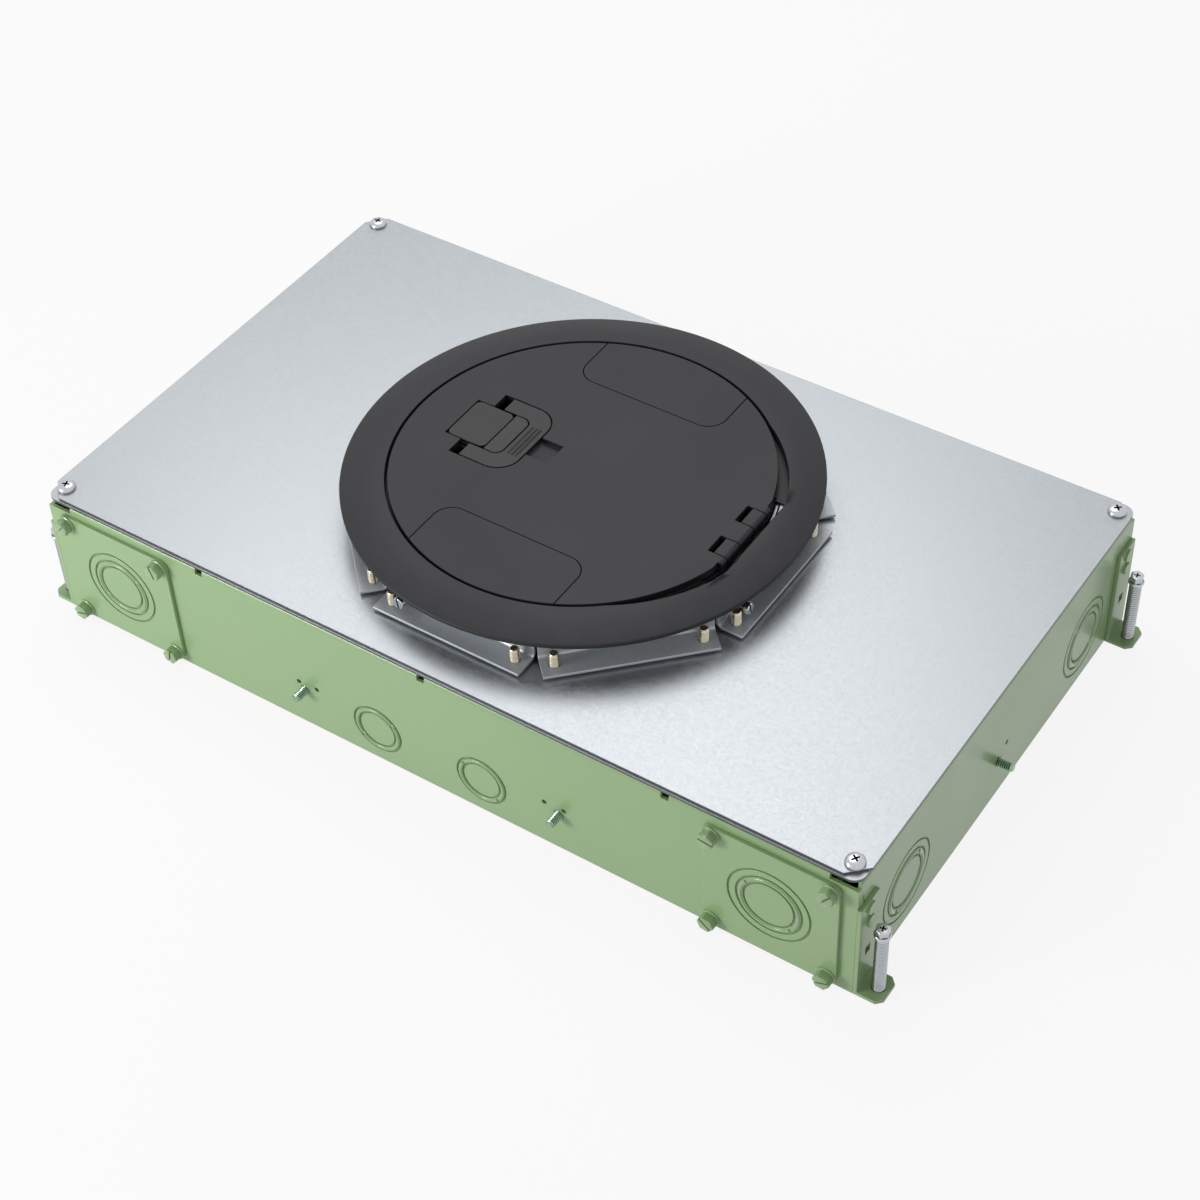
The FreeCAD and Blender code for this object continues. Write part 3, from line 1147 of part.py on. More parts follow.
def lid_hinge_pin():
    """Pin through the knuckles of frame and lid."""
    start = (hinge_x, -S.hinge_half_width, hinge_z)
    return keep("lid_hinge_pin", rod("hinge_pin", "+Y", start, S.hinge_pin_radius, 2 * S.hinge_half_width))


def cable_door(label, sy):
    """Flap on two side pins: its inner edge dips and its rim rises to let cables out."""
    body = new_body(label)
    disc = new_sketch(body, label + "_disc", "XY_Plane", lid_under)
    circle(disc, 0, 0, lid_radius)
    pad(body, disc, S.lid_thickness)
    far = lid_radius + 10.0
    near = sy * S.door_chord
    inner_part = new_sketch(body, label + "_inner_part", "XY_Plane", crown)
    rectangle(inner_part, -far, -sy * far, far, near)
    pocket(body, inner_part, S.lid_thickness)
    for sx, name in ((-1, "left"), (1, "right")):
        side = new_sketch(body, "%s_%s_side" % (label, name), "XY_Plane", crown)
        rectangle(side, sx * S.door_half_width, near - sy, sx * far, sy * far)
        pocket(body, side, S.lid_thickness)
    rounded(body, S.door_corner, corner_at(S.door_half_width, S.door_chord))
    bores = [rod("%s_bore_%d" % (label, sx), axis, (sx * S.door_half_width, sy * door_axis_y, door_axis_z),
                 S.door_pin_radius + S.thread_gap, S.door_pin_reach + 0.2)
             for sx, axis in ((-1, "+X"), (1, "-X"))]
    return keep(label, cut(label + "_bored", body, *bores))


def door_pins():
    """Two short pins for each door, half in the door and half in the lid."""
    length = 2 * S.door_pin_reach + S.door_gap
    master = rod("door_pin", "+Z", (0, 0, -S.door_pin_reach), S.door_pin_radius, length)
    spots = [at(sx * S.door_half_width, sy * door_axis_y, door_axis_z, axis)
             for sx, axis in ((-1, "-X"), (1, "+X")) for sy in (-1, 1)]
    return copies("door_pins", master, spots)


# ---------------------------------------------------------------- latch
def pull_bail():
    body = new_body("bail")
    outline = new_sketch(body, "bail_outline", "XY_Plane", crown - S.bail_thickness)
    bail_outline(outline, 0.0)
    pad(body, outline, S.bail_thickness)
    rounded(body, S.bail_corner, corner_at(S.bail_tip_x, S.bail_half_width))
    rounded(body, S.bail_inner_corner,
            corner_at(S.bail_tip_x + S.bail_bar, S.bail_half_width - S.bail_arm))
    # Three grip grooves along the cross bar.
    grips = new_sketch(body, "bail_grips", "XY_Plane", crown)
    for step in (-1, 0, 1):
        middle = -(S.bail_tip_x + S.bail_bar / 2) + step * S.grip_pitch
        rectangle(grips, middle - S.grip_width / 2, -S.grip_half_length,
                  middle + S.grip_width / 2, S.grip_half_length)
    pocket(body, grips, S.grip_depth)
    pieces = [body]
    for sy, axis in ((-1, "-Y"), (1, "+Y")):
        pieces.append(rod("bail_pin_%d" % sy, axis, (-S.bail_pivot_x, sy * (S.bail_half_width - 1), bail_axis_z),
                          S.bail_pin_radius, S.bail_pin_length + 1))
    return keep("pull_bail", fuse("bail_joined", *pieces))


def latch_cap():
    body = new_body("cap")
    outline = new_sketch(body, "cap_outline", "XY_Plane", crown - S.cap_thickness)
    rectangle(outline, -S.cap_far_x, -S.cap_half_width, -S.cap_near_x, S.cap_half_width)
    pad(body, outline, S.cap_thickness)
    rounded(body, S.cap_corner, upright)
    return keep("latch_cap", body)


def latch_bolt():
    """Flat bolt, drawn back: its nose is just inside the ledge."""
    nose = ledge_radius - 1.0
    body = new_body("bolt")
    side = new_sketch(body, "bolt_side", "XZ_Plane", S.bolt_width / 2)
    low = bolt_top - S.bolt_thickness
    polygon(side, [(-nose, low + S.bolt_thickness / 2), (-nose + 2.0, low), (-nose + S.bolt_length, low),
                   (-nose + S.bolt_length, bolt_top), (-nose, bolt_top)])
    bolt = pad(body, side, S.bolt_width)
    bolt.Reversed = True
    return keep("latch_bolt", body)


def latch_guide():
    """Folded strap that holds the bolt up against the boss."""
    low = bolt_top - S.bolt_thickness - S.bolt_gap - S.guide_sheet
    inner = S.bolt_width / 2 + S.bolt_gap
    outer = inner + S.guide_sheet
    ear = outer + S.guide_ear
    body = new_body("guide")
    profile = new_sketch(body, "guide_profile", "YZ_Plane", -guide_x - S.guide_length / 2)
    ear_low = boss_low - S.guide_sheet
    polygon(profile, [(-ear, boss_low), (-ear, ear_low), (-outer, ear_low), (-outer, low), (outer, low),
                      (outer, ear_low), (ear, ear_low), (ear, boss_low), (inner, boss_low),
                      (inner, low + S.guide_sheet), (-inner, low + S.guide_sheet), (-inner, boss_low)])
    pad(body, profile, S.guide_length)
    holes = new_sketch(body, "guide_holes", "XY_Plane", boss_low)
    for sy in (-1, 1):
        circle(holes, -guide_x, sy * guide_screw_y, S.guide_screw_radius + S.thread_gap)
    pocket(body, holes, S.guide_sheet * 2)
    return keep("latch_guide", body)


def latch_guide_screws():
    shank = rod("guide_shank", "+Z", (0, 0, 0), S.guide_screw_radius, 4.5)
    head = rod("guide_head", "-Z", (0, 0, 0), 2.6, 1.8)
    master = fuse("guide_screw", shank, head)
    spots = [at(-guide_x, sy * guide_screw_y, boss_low - S.guide_sheet) for sy in (-1, 1)]
    return copies("latch_guide_screws", master, spots)


# ---------------------------------------------------------------- inside the box
def divider():
    """Upright sheet between the power side and the data side."""
    body = new_body("divider")
    reach = front - S.box_sheet - 0.5
    profile = new_sketch(body, "divider_profile", "XZ_Plane", -reach)
    top = floor + S.divider_height
    x = S.divider_x
    polygon(profile, [(x, floor), (x + S.divider_foot, floor), (x + S.divider_foot, floor + S.divider_sheet),
                      (x + S.divider_sheet, floor + S.divider_sheet), (x + S.divider_sheet, top), (x, top)])
    pad(body, profile, 2 * reach)
    return keep("divider", body)


def device_bracket(label, centre):
    """Bridge of folded sheet with windows for two devices."""
    body = new_body(label)
    half_y = S.device_plate_y / 2
    t = S.device_sheet
    profile = new_sketch(body, label + "_profile", "YZ_Plane", centre - S.device_plate_x / 2)
    top = S.device_level
    foot = half_y + S.device_foot
    polygon(profile, [(-foot, floor), (-half_y + t, floor), (-half_y + t, top - t), (half_y - t, top - t),
                      (half_y - t, floor), (foot, floor), (foot, floor + t), (half_y, floor + t),
                      (half_y, top), (-half_y, top), (-half_y, floor + t), (-foot, floor + t)])
    pad(body, profile, S.device_plate_x)
    windows = new_sketch(body, label + "_windows", "XY_Plane", top)
    for sx in (-1, 1):
        x = centre + sx * S.device_pitch / 2
        rectangle(windows, x - S.device_window_x / 2, -S.device_window_y / 2,
                  x + S.device_window_x / 2, S.device_window_y / 2)
        for sy in (-1, 1):
            circle(windows, x, sy * S.device_screw_pitch / 2, S.device_screw_radius + S.thread_gap)
    pocket(body, windows, t)
    return keep(label, body)


def duplex_receptacle(label, x):
    """Duplex outlet: strap, body below the bracket and two raised faces."""
    top = S.device_level + S.strap_sheet
    half_w = S.strap_width / 2
    strap = block(label + "_strap", (x - half_w, -S.strap_length / 2, S.device_level),
                  (x + half_w, S.strap_length / 2, top))
    body_x = S.device_window_x / 2 - S.device_fit
    body_y = S.device_window_y / 2 - S.device_fit
    lower = block(label + "_case", (x - body_x, -body_y, S.device_level - S.device_body_drop),
                  (x + body_x, body_y, top))
    faces = [strap, lower]
    holes = []
    for sy in (-1, 1):
        centre = sy * S.device_window_y / 4
        disc = rod("%s_disc_%d" % (label, sy), "+Z", (x, centre, top), S.outlet_radius, S.device_face_rise)
        trim = block("%s_trim_%d" % (label, sy), (x - body_x, centre - S.outlet_trim, top),
                     (x + body_x, centre + S.outlet_trim, top + S.device_face_rise))
        faces.append(common("%s_face_%d" % (label, sy), disc, trim))
        face_top = top + S.device_face_rise
        slot_y = centre + S.contact_rise
        slot_floor = face_top - S.contact_depth
        for sx, slot_half in ((-1, S.contact_live), (1, S.contact_neutral)):
            slot_x = x + sx * S.contact_x
            holes.append(block("%s_slot_%d_%d" % (label, sy, sx),
                               (slot_x - S.contact_half_width, slot_y - slot_half, slot_floor),
                               (slot_x + S.contact_half_width, slot_y + slot_half, face_top + 1)))
        holes.append(rod("%s_earth_%d" % (label, sy), "+Z", (x, centre - S.earth_drop, slot_floor),
                         S.earth_radius, S.contact_depth + 1))
        holes.append(rod("%s_ear_%d" % (label, sy), "+Z", (x, sy * S.device_screw_pitch / 2, top - 3),
                         S.device_screw_radius + S.cover_screw_slack, 4.0))
    return keep(label, cut(label + "_cut", fuse(label + "_joined", *faces), *holes))


def data_plate(centre):
    """Plate over both windows of the data bracket, with four jack openings."""
    body = new_body("data_plate")
    half_x = S.device_pitch / 2 + S.device_window_x / 2 + 2.0
    outline = new_sketch(body, "data_plate_outline", "XY_Plane", S.device_level)
    rectangle(outline, centre - half_x, -S.strap_length / 2, centre + half_x, S.strap_length / 2)
    for sx in (-1, 1):
        x = centre + sx * S.device_pitch / 2
        for sy in (-1, 1):
            y = sy * S.device_window_y / 4
            half = S.jack_side / 2 + S.device_fit
            rectangle(outline, x - half, y - half, x + half, y + half)
            circle(outline, x, sy * S.device_screw_pitch / 2, S.device_screw_radius + S.cover_screw_slack)
    pad(body, outline, S.strap_sheet)
    return keep("data_plate", body)


def data_jacks(centre):
    """Four modular jacks, each with its socket open to the top."""
    half = S.jack_side / 2
    edge = half + S.jack_lip
    above = S.jack_face + 1.0
    case = block("jack_case", (-half, -half, -S.jack_depth), (half, half, S.jack_face))
    flange = block("jack_flange", (-edge, -edge, 0), (edge, edge, S.jack_face))
    socket = block("jack_socket", (-S.jack_socket_x, -S.jack_socket_y, -S.jack_socket_depth),
                   (S.jack_socket_x, S.jack_socket_y, above))
    key = block("jack_key", (-S.jack_key_x, -S.jack_key_y, -S.jack_socket_depth),
                (S.jack_key_x, 0, above))
    master = cut("jack", fuse("jack_joined", case, flange), socket, key)
    top = S.device_level + S.strap_sheet
    spots = [at(centre + sx * S.device_pitch / 2, sy * S.device_window_y / 4, top)
             for sx in (-1, 1) for sy in (-1, 1)]
    return copies("data_jacks", master, spots)


def device_screws(power, data):
    """Screws of both receptacles and of the data plate."""
    shank = rod("device_shank", "-Z", (0, 0, 0), S.device_screw_radius, S.device_screw_length)
    head = rod("device_head", "+Z", (0, 0, 0), S.device_screw_head, S.device_screw_rise)
    master = fuse("device_screw", shank, head)
    top = S.device_level + S.strap_sheet
    spots = [at(centre + sx * S.device_pitch / 2, sy * S.device_screw_pitch / 2, top)
             for centre in (power, data) for sx in (-1, 1) for sy in (-1, 1)]
    return copies("device_screws", master, spots)


# ---------------------------------------------------------------- the whole part
CORNERS = (("front_left", -1, -1), ("front_right", 1, -1), ("rear_left", -1, 1), ("rear_right", 1, 1))

box_body()
for corner_name, side_x, side_y in CORNERS:
    knockout_plate(corner_name + "_knockout_plate", side_x, side_y)
    levelling_bracket(corner_name + "_levelling_bracket", side_x, side_y)
    levelling_screw(corner_name + "_levelling_screw", side_x, side_y)
knockout_plate_screws()
ground_screws()
bracket_rivets()
cover_plate("lower_cover_plate", S.lower_plate_over, S.lower_plate_side, S.box_height,
            S.lower_plate_corner, False)
cover_plate("upper_cover_plate", S.upper_plate_over, S.upper_plate_side, S.box_height + S.plate_sheet,
            S.upper_plate_chamfer, True)
cover_screws()
riser_sleeve()
octagon_collar()
levelling_set_screws()
clamp_screws()
flange_fixing_screws()
frame_with_knuckles()
lid_gasket()
lid_with_barrels()
lid_hinge_pin()
cable_door("front_cable_door", -1)
cable_door("rear_cable_door", 1)
door_pins()
pull_bail()
latch_cap()
latch_bolt()
latch_guide()
latch_guide_screws()
divider()
power_centre = S.divider_x - S.device_gap - S.device_plate_x / 2
data_centre = S.divider_x + S.divider_foot + 1.2 + S.device_plate_x / 2
device_bracket("power_device_bracket", power_centre)
device_bracket("data_device_bracket", data_centre)
duplex_receptacle("left_duplex_receptacle", power_centre - S.device_pitch / 2)
duplex_receptacle("right_duplex_receptacle", power_centre + S.device_pitch / 2)
data_plate(data_centre)
data_jacks(data_centre)
device_screws(power_centre, data_centre)
doc.recompute()

# ---------------------------------------------------------------- checks and files
for thing in doc.Objects:
    if {"Invalid", "Error"} & set(thing.State):
        raise RuntimeError("%s failed: %s" % (thing.Label, thing.State))
for part in parts:
    if part.Shape.isNull() or not part.Shape.isValid() or part.Shape.Volume <= 0:
        raise RuntimeError("bad shape: " + part.Label)

os.makedirs("parts", exist_ok=True)
for part in parts:
    part.Shape.exportStep("parts/%s.step" % part.Label)
print("%d sub-parts written" % len(parts))
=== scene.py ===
"""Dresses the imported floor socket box: sheet metal finishes, turned and threaded screws,
the raised beads of the knockouts, then the studio, the lights and the camera."""

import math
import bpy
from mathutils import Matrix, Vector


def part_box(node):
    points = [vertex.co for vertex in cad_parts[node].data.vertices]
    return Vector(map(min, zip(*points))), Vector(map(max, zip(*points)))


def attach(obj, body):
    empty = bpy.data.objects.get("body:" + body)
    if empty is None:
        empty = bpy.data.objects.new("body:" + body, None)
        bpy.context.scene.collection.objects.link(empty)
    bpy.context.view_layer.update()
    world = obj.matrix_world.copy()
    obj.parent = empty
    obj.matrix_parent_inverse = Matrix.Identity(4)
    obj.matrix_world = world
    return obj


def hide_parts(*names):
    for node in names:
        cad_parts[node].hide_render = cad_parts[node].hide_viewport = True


bl_info = {
    "name": "Floor socket box",
    "version": (1, 0, 0),
    "blender": (4, 5, 0),
    "location": "View3D > Sidebar > Floor Box",
    "description": "Finishes, fasteners and studio for a floor socket box",
    "category": "Object",
}

import bmesh
import bpy
from bpy.props import FloatProperty, FloatVectorProperty, IntProperty, PointerProperty
from mathutils import Matrix, Vector

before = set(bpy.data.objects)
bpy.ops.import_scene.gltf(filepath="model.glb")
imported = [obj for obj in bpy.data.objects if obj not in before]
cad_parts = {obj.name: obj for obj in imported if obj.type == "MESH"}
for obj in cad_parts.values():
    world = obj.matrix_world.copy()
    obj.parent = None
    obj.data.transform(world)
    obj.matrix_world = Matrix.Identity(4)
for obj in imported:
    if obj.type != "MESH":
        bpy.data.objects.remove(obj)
MM = 0.001
CORNERS = ((-1, -1), (1, -1), (-1, 1), (1, 1))
CORNER_NAMES = {(-1, -1): "front_left", (1, -1): "front_right",
                (-1, 1): "rear_left", (1, 1): "rear_right"}

# Places on the box that no node gives.
GROUND_X = 73.6 * MM            # ground screws from the middle of a long side
CLAMP_OFFSET = 28.4 * MM        # clamp screws beside the middle of their wall
SET_SCREW_OFFSET = 34.5 * MM    # set screws beside the middle of their foot
INSERT_X = -43.9 * MM           # middle of the rough insert beside the latch
INSERT_HALF = (5.4 * MM, 14.2 * MM, 3.0 * MM)

# Threads and edges.
SHANK = 2.0 * MM                # thread radius of the cover and knockout plate screws
LEVELLING_SHANK = 3.1 * MM      # thread radius of the levelling screws
FINE_PITCH = 0.8 * MM
FINE_GROOVE = 0.35 * MM
SHARP = math.radians(30.0)      # edges sharper than this are softened or left crisp
SMALL_STEPS = 28                # facets round the small screws
RING_STEPS = 96                 # facets round a knockout's bead

# Cross section of a knockout's bead: across it and out of the wall, in millimetres.
BEAD_SECTION = ((-1.0, -0.1), (1.0, -0.1), (0.8, 0.3), (0.35, 0.55), (-0.35, 0.55), (-0.8, 0.3))

# Area lights: place, point they face and length of a side.
LIGHTS = {
    "Softbox": ((-0.42, 0.50, 1.20), (0.06, -0.03, 0.10), 0.9),
    "Left key": ((-0.66, -1.05, 0.36), (-0.05, -0.05, 0.05), 0.42),
}
FLOOR_GLOW = 0.86               # how far the floor's own white shows over its shadows

# Finish of each CAD node, and its softened edge as a share of the sheet metal's.
NODE_FINISHES = {
    "box_body": ("Green paint", 1.0),
    "lower_cover_plate": ("Galvanised sheet", 0.6),
    "upper_cover_plate": ("Galvanised sheet", 0.6),
    "riser_sleeve": ("Zinc sheet", 1.0),
    "octagon_collar": ("Galvanised collar", 1.0),
    "trim_flange": ("Black cover", 1.2),
    "lid": ("Black lid", 1.0),
    "lid_gasket": ("Gasket rubber", 0.0),
    "front_cable_door": ("Black cover", 1.0),
    "rear_cable_door": ("Black cover", 1.0),
    "pull_bail": ("Black latch", 1.0),
    "latch_cap": ("Black latch", 1.0),
    "latch_bolt": ("Bright zinc", 1.0),
    "latch_guide": ("Zinc sheet", 0.6),
    "latch_guide_screws": ("Bright zinc", 0.0),
    "lid_hinge_pin": ("Bright zinc", 0.0),
    "door_pins": ("Bright zinc", 0.0),
    "flange_fixing_screws": ("Bright zinc", 0.0),
    "bracket_rivets": ("Green paint", 0.0),
    "divider": ("Zinc sheet", 0.0),
    "power_device_bracket": ("Zinc sheet", 1.0),
    "data_device_bracket": ("Zinc sheet", 1.0),
    "left_duplex_receptacle": ("Receptacle", 1.0),
    "right_duplex_receptacle": ("Receptacle", 1.0),
    "data_plate": ("Receptacle", 0.6),
    "data_jacks": ("Jack", 0.0),
    "device_screws": ("Bright zinc", 0.0),
}
for each in CORNER_NAMES.values():
    NODE_FINISHES[each + "_knockout_plate"] = ("Green paint", 1.0)
    NODE_FINISHES[each + "_levelling_bracket"] = ("Green paint", 1.0)


# ---------------------------------------------------------------- settings
def length(name, description, default):
    """Length property in metres, given in millimetres."""
    return FloatProperty(name=name, description=description, default=default * MM, min=0.0, unit="LENGTH")


def swatch(name, description, default):
    """Colour property."""
    return FloatVectorProperty(name=name, description=description, default=default, subtype="COLOR",
                               min=0.0, max=1.0)


class FinishSettings(bpy.types.PropertyGroup):
    paint: swatch("Paint", "Colour of the painted steel", (0.275, 0.412, 0.198))
    zinc: swatch("Zinc", "Colour of the galvanised sheet", (0.398, 0.420, 0.440))
    cover: swatch("Cover", "Colour of the powder coated cover", (0.0165, 0.017, 0.020))
    spangle: length("Spangle", "Size of a zinc crystal on the galvanised sheet", 1.6)
    edge: length("Edge", "Width of the softened edges on sheet metal", 0.3)


class ScrewSettings(bpy.types.PropertyGroup):
    steps: IntProperty(name="Steps", description="Facets round a turned part", default=40, min=12, max=96)
    pitch: length("Pitch", "Thread pitch of the levelling screws", 1.27)
    groove: length("Groove", "Depth of the levelling screws' thread", 0.7)
    pan_radius: length("Pan head", "Radius of a cover screw's head", 4.7)
    plate_pitch_x: length("Plate screws along X", "Distance between a knockout plate's screws", 59.0)
    plate_pitch_z: length("Plate screws along Z", "Distance between a knockout plate's screws", 57.5)
    washer: length("Washer", "Radius of the washer face on a knockout plate's screw", 4.8)
    hexagon: length("Hexagon", "Corner radius of a knockout plate screw's head", 4.4)
    levelling_washer: length("Levelling washer", "Radius of the washer face on a levelling screw", 3.9)
    levelling_hexagon: length("Levelling hexagon", "Corner radius of a levelling screw's head", 3.6)


class KnockoutSettings(bpy.types.PropertyGroup):
    small_x: length("Small across", "Small knockouts from the middle of a long side", 30.2)
    small_z: length("Small height", "Small knockouts over the underside", 20.6)
    end_y: length("End across", "Knockouts from the middle of an end", 88.0)
    end_z: length("End height", "End knockouts over the underside", 29.1)
    small_bead: length("Small bead", "Radius of the raised bead in a small knockout", 12.0)
    large_bead: length("Large bead", "Radius of the raised bead in a concentric knockout", 14.7)

    def beads(self):
        """Radius of each kind of bead, and its points and outward axes on the rear right quarter."""
        low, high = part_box("front_right_knockout_plate")
        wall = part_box("box_body")[1]
        plate = ((low[0] + high[0]) / 2, max(abs(low[1]), abs(high[1])), (low[2] + high[2]) / 2)
        end = (wall[0], self.end_y, self.end_z)
        small = (self.small_x, wall[1], self.small_z)
        return {"small": (self.small_bead, [(small, "Y")]),
                "large": (self.large_bead, [(plate, "Y"), (end, "X")])}


class StageSettings(bpy.types.PropertyGroup):
    eye: FloatVectorProperty(name="Eye", description="Where the camera stands", subtype="XYZ", unit="LENGTH",
                             default=(0.51522, -0.71374, 0.88439))
    turn: FloatVectorProperty(name="Turn", description="Camera rotation", subtype="EULER", unit="ROTATION",
                              default=(0.787629, 0.032244, 0.586913))
    lens: FloatProperty(name="Lens", description="Focal length of the camera in millimetres",
                        default=74.1, min=1.0)
    sky: FloatProperty(name="Sky", description="Strength of the surroundings on matt surfaces",
                       default=0.42, min=0.0)
    softbox: FloatProperty(name="Softbox", description="Power of the large overhead light in watts",
                           default=4.7, min=0.0)
    left_key: FloatProperty(name="Left key", description="Power of the light from the left in watts",
                            default=8.0, min=0.0)


# ---------------------------------------------------------------- node helpers
class Graph:
    """Builds nodes in a tree, with inputs given by name."""

    def __init__(self, tree):
        self.tree = tree

    def node(self, kind, values=None, **settings):
        made = self.tree.nodes.new(kind)
        for key, value in settings.items():
            setattr(made, key, value)
        for key, value in (values or {}).items():
            self.feed(made.inputs[key], value)
        return made

    def feed(self, socket, value):
        if isinstance(value, bpy.types.NodeSocket):
            self.tree.links.new(value, socket)
        else:
            socket.default_value = value

    def math(self, operation, a, b=0.0):
        return self.node("ShaderNodeMath", {0: a, 1: b}, operation=operation).outputs[0]

    def vector(self, operation, a, b=None):
        """Vector maths on one input or two."""
        values = {0: a} if b is None else {0: a, 1: b}
        return self.node("ShaderNodeVectorMath", values, operation=operation).outputs[0]

    def mix(self, factor, a, b, blend="MIX"):
        values = {"Factor": factor, 6: a, 7: b}
        return self.node("ShaderNodeMix", values, data_type="RGBA", blend_type=blend).outputs[2]

    def spread(self, value, low, high, to_low, to_high):
        """Maps the value from one range to another, and holds it there."""
        values = {"Value": value, "From Min": low, "From Max": high, "To Min": to_low, "To Max": to_high}
        return self.node("ShaderNodeMapRange", values).outputs["Result"]

    def noise(self, place, scale, detail, **values):
        """Noise texture."""
        return self.node("ShaderNodeTexNoise", {"Vector": place, "Scale": scale, "Detail": detail, **values})

    def place(self):
        """The object's own coordinates."""
        return self.node("ShaderNodeTexCoord").outputs["Object"]


def shade(tone, factor):
    """The tone made lighter or darker by the factor."""
    return [min(1.0, part * factor) for part in tone]


def colour(tone):
    """The tone as an opaque colour."""
    return (*tone, 1.0)


def node_of(made, kind):
    """The material's node of a kind."""
    return next(node for node in made.node_tree.nodes if node.type == kind)


def new_group(name, inputs, outputs):
    """Shader node group with its sockets; returns the tree, its graph and its two ends."""
    tree = bpy.data.node_groups.new(name, "ShaderNodeTree")
    for label, kind, default in inputs:
        socket = tree.interface.new_socket(label, in_out="INPUT", socket_type=kind)
        socket.default_value = default
    for label in outputs:
        tree.interface.new_socket(label, in_out="OUTPUT", socket_type="NodeSocketFloat")
    graph = Graph(tree)
    return tree, graph, graph.node("NodeGroupInput"), graph.node("NodeGroupOutput")


def spangle_group():
    """Zinc coat: a value for each crystal, fine grain and slow clouds, and 1 where a face lies flat, which
    masks the painted edge shade.
    """
    tree, g, start, end = new_group("Zinc spangle", [("Scale", "NodeSocketFloat", 160.0)],
                                    ["Crystal", "Grain", "Cloud", "Flat"])
    place = g.place()
    wobble = g.noise(place, 90.0, 3.0)
    bent = g.mix(0.004, place, wobble.outputs["Color"], "ADD")
    cells = g.node("ShaderNodeTexVoronoi", {"Vector": bent, "Scale": start.outputs["Scale"]})
    grey = g.node("ShaderNodeSeparateColor", {"Color": cells.outputs["Color"]})
    grain = g.noise(bent, 900.0, 3.0)
    cloud = g.noise(place, 14.0, 4.0, Roughness=0.6)
    facing = g.node("ShaderNodeSeparateXYZ", {"Vector": g.node("ShaderNodeNewGeometry").outputs["Normal"]})
    g.feed(end.inputs["Crystal"], grey.outputs["Red"])
    g.feed(end.inputs["Grain"], grain.outputs["Fac"])
    g.feed(end.inputs["Cloud"], cloud.outputs["Fac"])
    g.feed(end.inputs["Flat"], g.spread(g.math("ABSOLUTE", facing.outputs["Z"]), 0.35, 0.85, 0.0, 1.0))
    return tree


def coat_group():
    """Sprayed coat: orange peel height, slow tone drift and fine specks, each 0 to 1."""
    inputs = [("Peel", "NodeSocketFloat", 700.0), ("Grain", "NodeSocketFloat", 4000.0)]
    tree, g, start, end = new_group("Sprayed coat", inputs, ["Height", "Drift", "Speck"])
    place = g.place()
    g.feed(end.inputs["Height"], g.noise(place, start.outputs["Peel"], 2.0).outputs["Fac"])
    g.feed(end.inputs["Drift"], g.noise(place, 18.0, 3.0).outputs["Fac"])
    g.feed(end.inputs["Speck"], g.noise(place, start.outputs["Grain"], 1.0).outputs["Fac"])
    return tree


def insert_group():
    """Rough insert beside the latch: 1 on it, 0 elsewhere on the lid, and its grain."""
    inputs = [(label, "NodeSocketVector", (0, 0, 0)) for label in ("Centre", "Half")]
    tree, g, start, end = new_group("Latch insert", inputs, ["Mask", "Grain"])
    place = g.place()
    away = g.vector("ABSOLUTE", g.vector("SUBTRACT", place, start.outputs["Centre"]))
    room = g.node("ShaderNodeSeparateXYZ", {"Vector": g.vector("SUBTRACT", start.outputs["Half"], away)})
    least = g.math("MINIMUM", room.outputs["X"], g.math("MINIMUM", room.outputs["Y"], room.outputs["Z"]))
    g.feed(end.inputs["Mask"], g.math("GREATER_THAN", least, 0.0))
    grain = g.noise(place, 2600.0, 2.0)
    g.feed(end.inputs["Grain"], g.spread(grain.outputs["Fac"], 0.3, 0.7, 0.0, 1.0))
    return tree


def placed_group(g, name, maker, **values):
    """Puts a shared group into a graph with its own values; the group is built once."""
    group = g.node("ShaderNodeGroup", node_tree=bpy.data.node_groups.get(name) or maker())
    for label, value in values.items():
        group.inputs[label].default_value = value
    return group


def new_material(name, tone):
    """Empty material; returns it with its graph and its Principled shader."""
    made = bpy.data.materials.new(name)
    made.use_nodes = True
    made.diffuse_color = colour(tone)
    made.node_tree.nodes.clear()
    g = Graph(made.node_tree)
    shader = g.node("ShaderNodeBsdfPrincipled")
    g.node("ShaderNodeOutputMaterial", {"Surface": shader.outputs["BSDF"]})
    return made, g, shader


def bumped(g, shader, height, distance, strength=0.5):
    """Adds relief over any relief the shader already has."""
    bump = g.node("ShaderNodeBump", {"Height": height, "Distance": distance, "Strength": strength})
    for link in list(shader.inputs["Normal"].links):
        g.feed(bump.inputs["Normal"], link.from_socket)
    g.feed(shader.inputs["Normal"], bump.outputs["Normal"])


def coated(name, tone, roughness, peel, grain, drift=0.06, speck=0.0, coat=0.0, relief=0.05, shine=0.5):
    """Painted or powder coated metal, and moulded plastic; the relief is in millimetres."""
    made, g, shader = new_material(name, tone)
    group = placed_group(g, "Sprayed coat", coat_group, Peel=peel, Grain=grain)
    tint = g.mix(group.outputs["Drift"], colour(shade(tone, 1 - drift)), colour(shade(tone, 1 + drift)))
    fleck = g.spread(group.outputs["Speck"], 0.35, 0.65, 1.0 - speck, 1.0 + speck)
    g.feed(shader.inputs["Base Color"], g.vector("MULTIPLY", tint, fleck))
    rough = g.spread(group.outputs["Drift"], 0.3, 0.7, roughness - 0.03, roughness + 0.03)
    g.feed(shader.inputs["Roughness"], rough)
    shader.inputs["Specular IOR Level"].default_value = shine
    shader.inputs["Coat Weight"].default_value = coat
    shader.inputs["Coat Roughness"].default_value = 0.14
    height = g.math("ADD", group.outputs["Height"], g.math("MULTIPLY", group.outputs["Speck"], 0.6))
    bumped(g, shader, height, relief * MM)
    return made


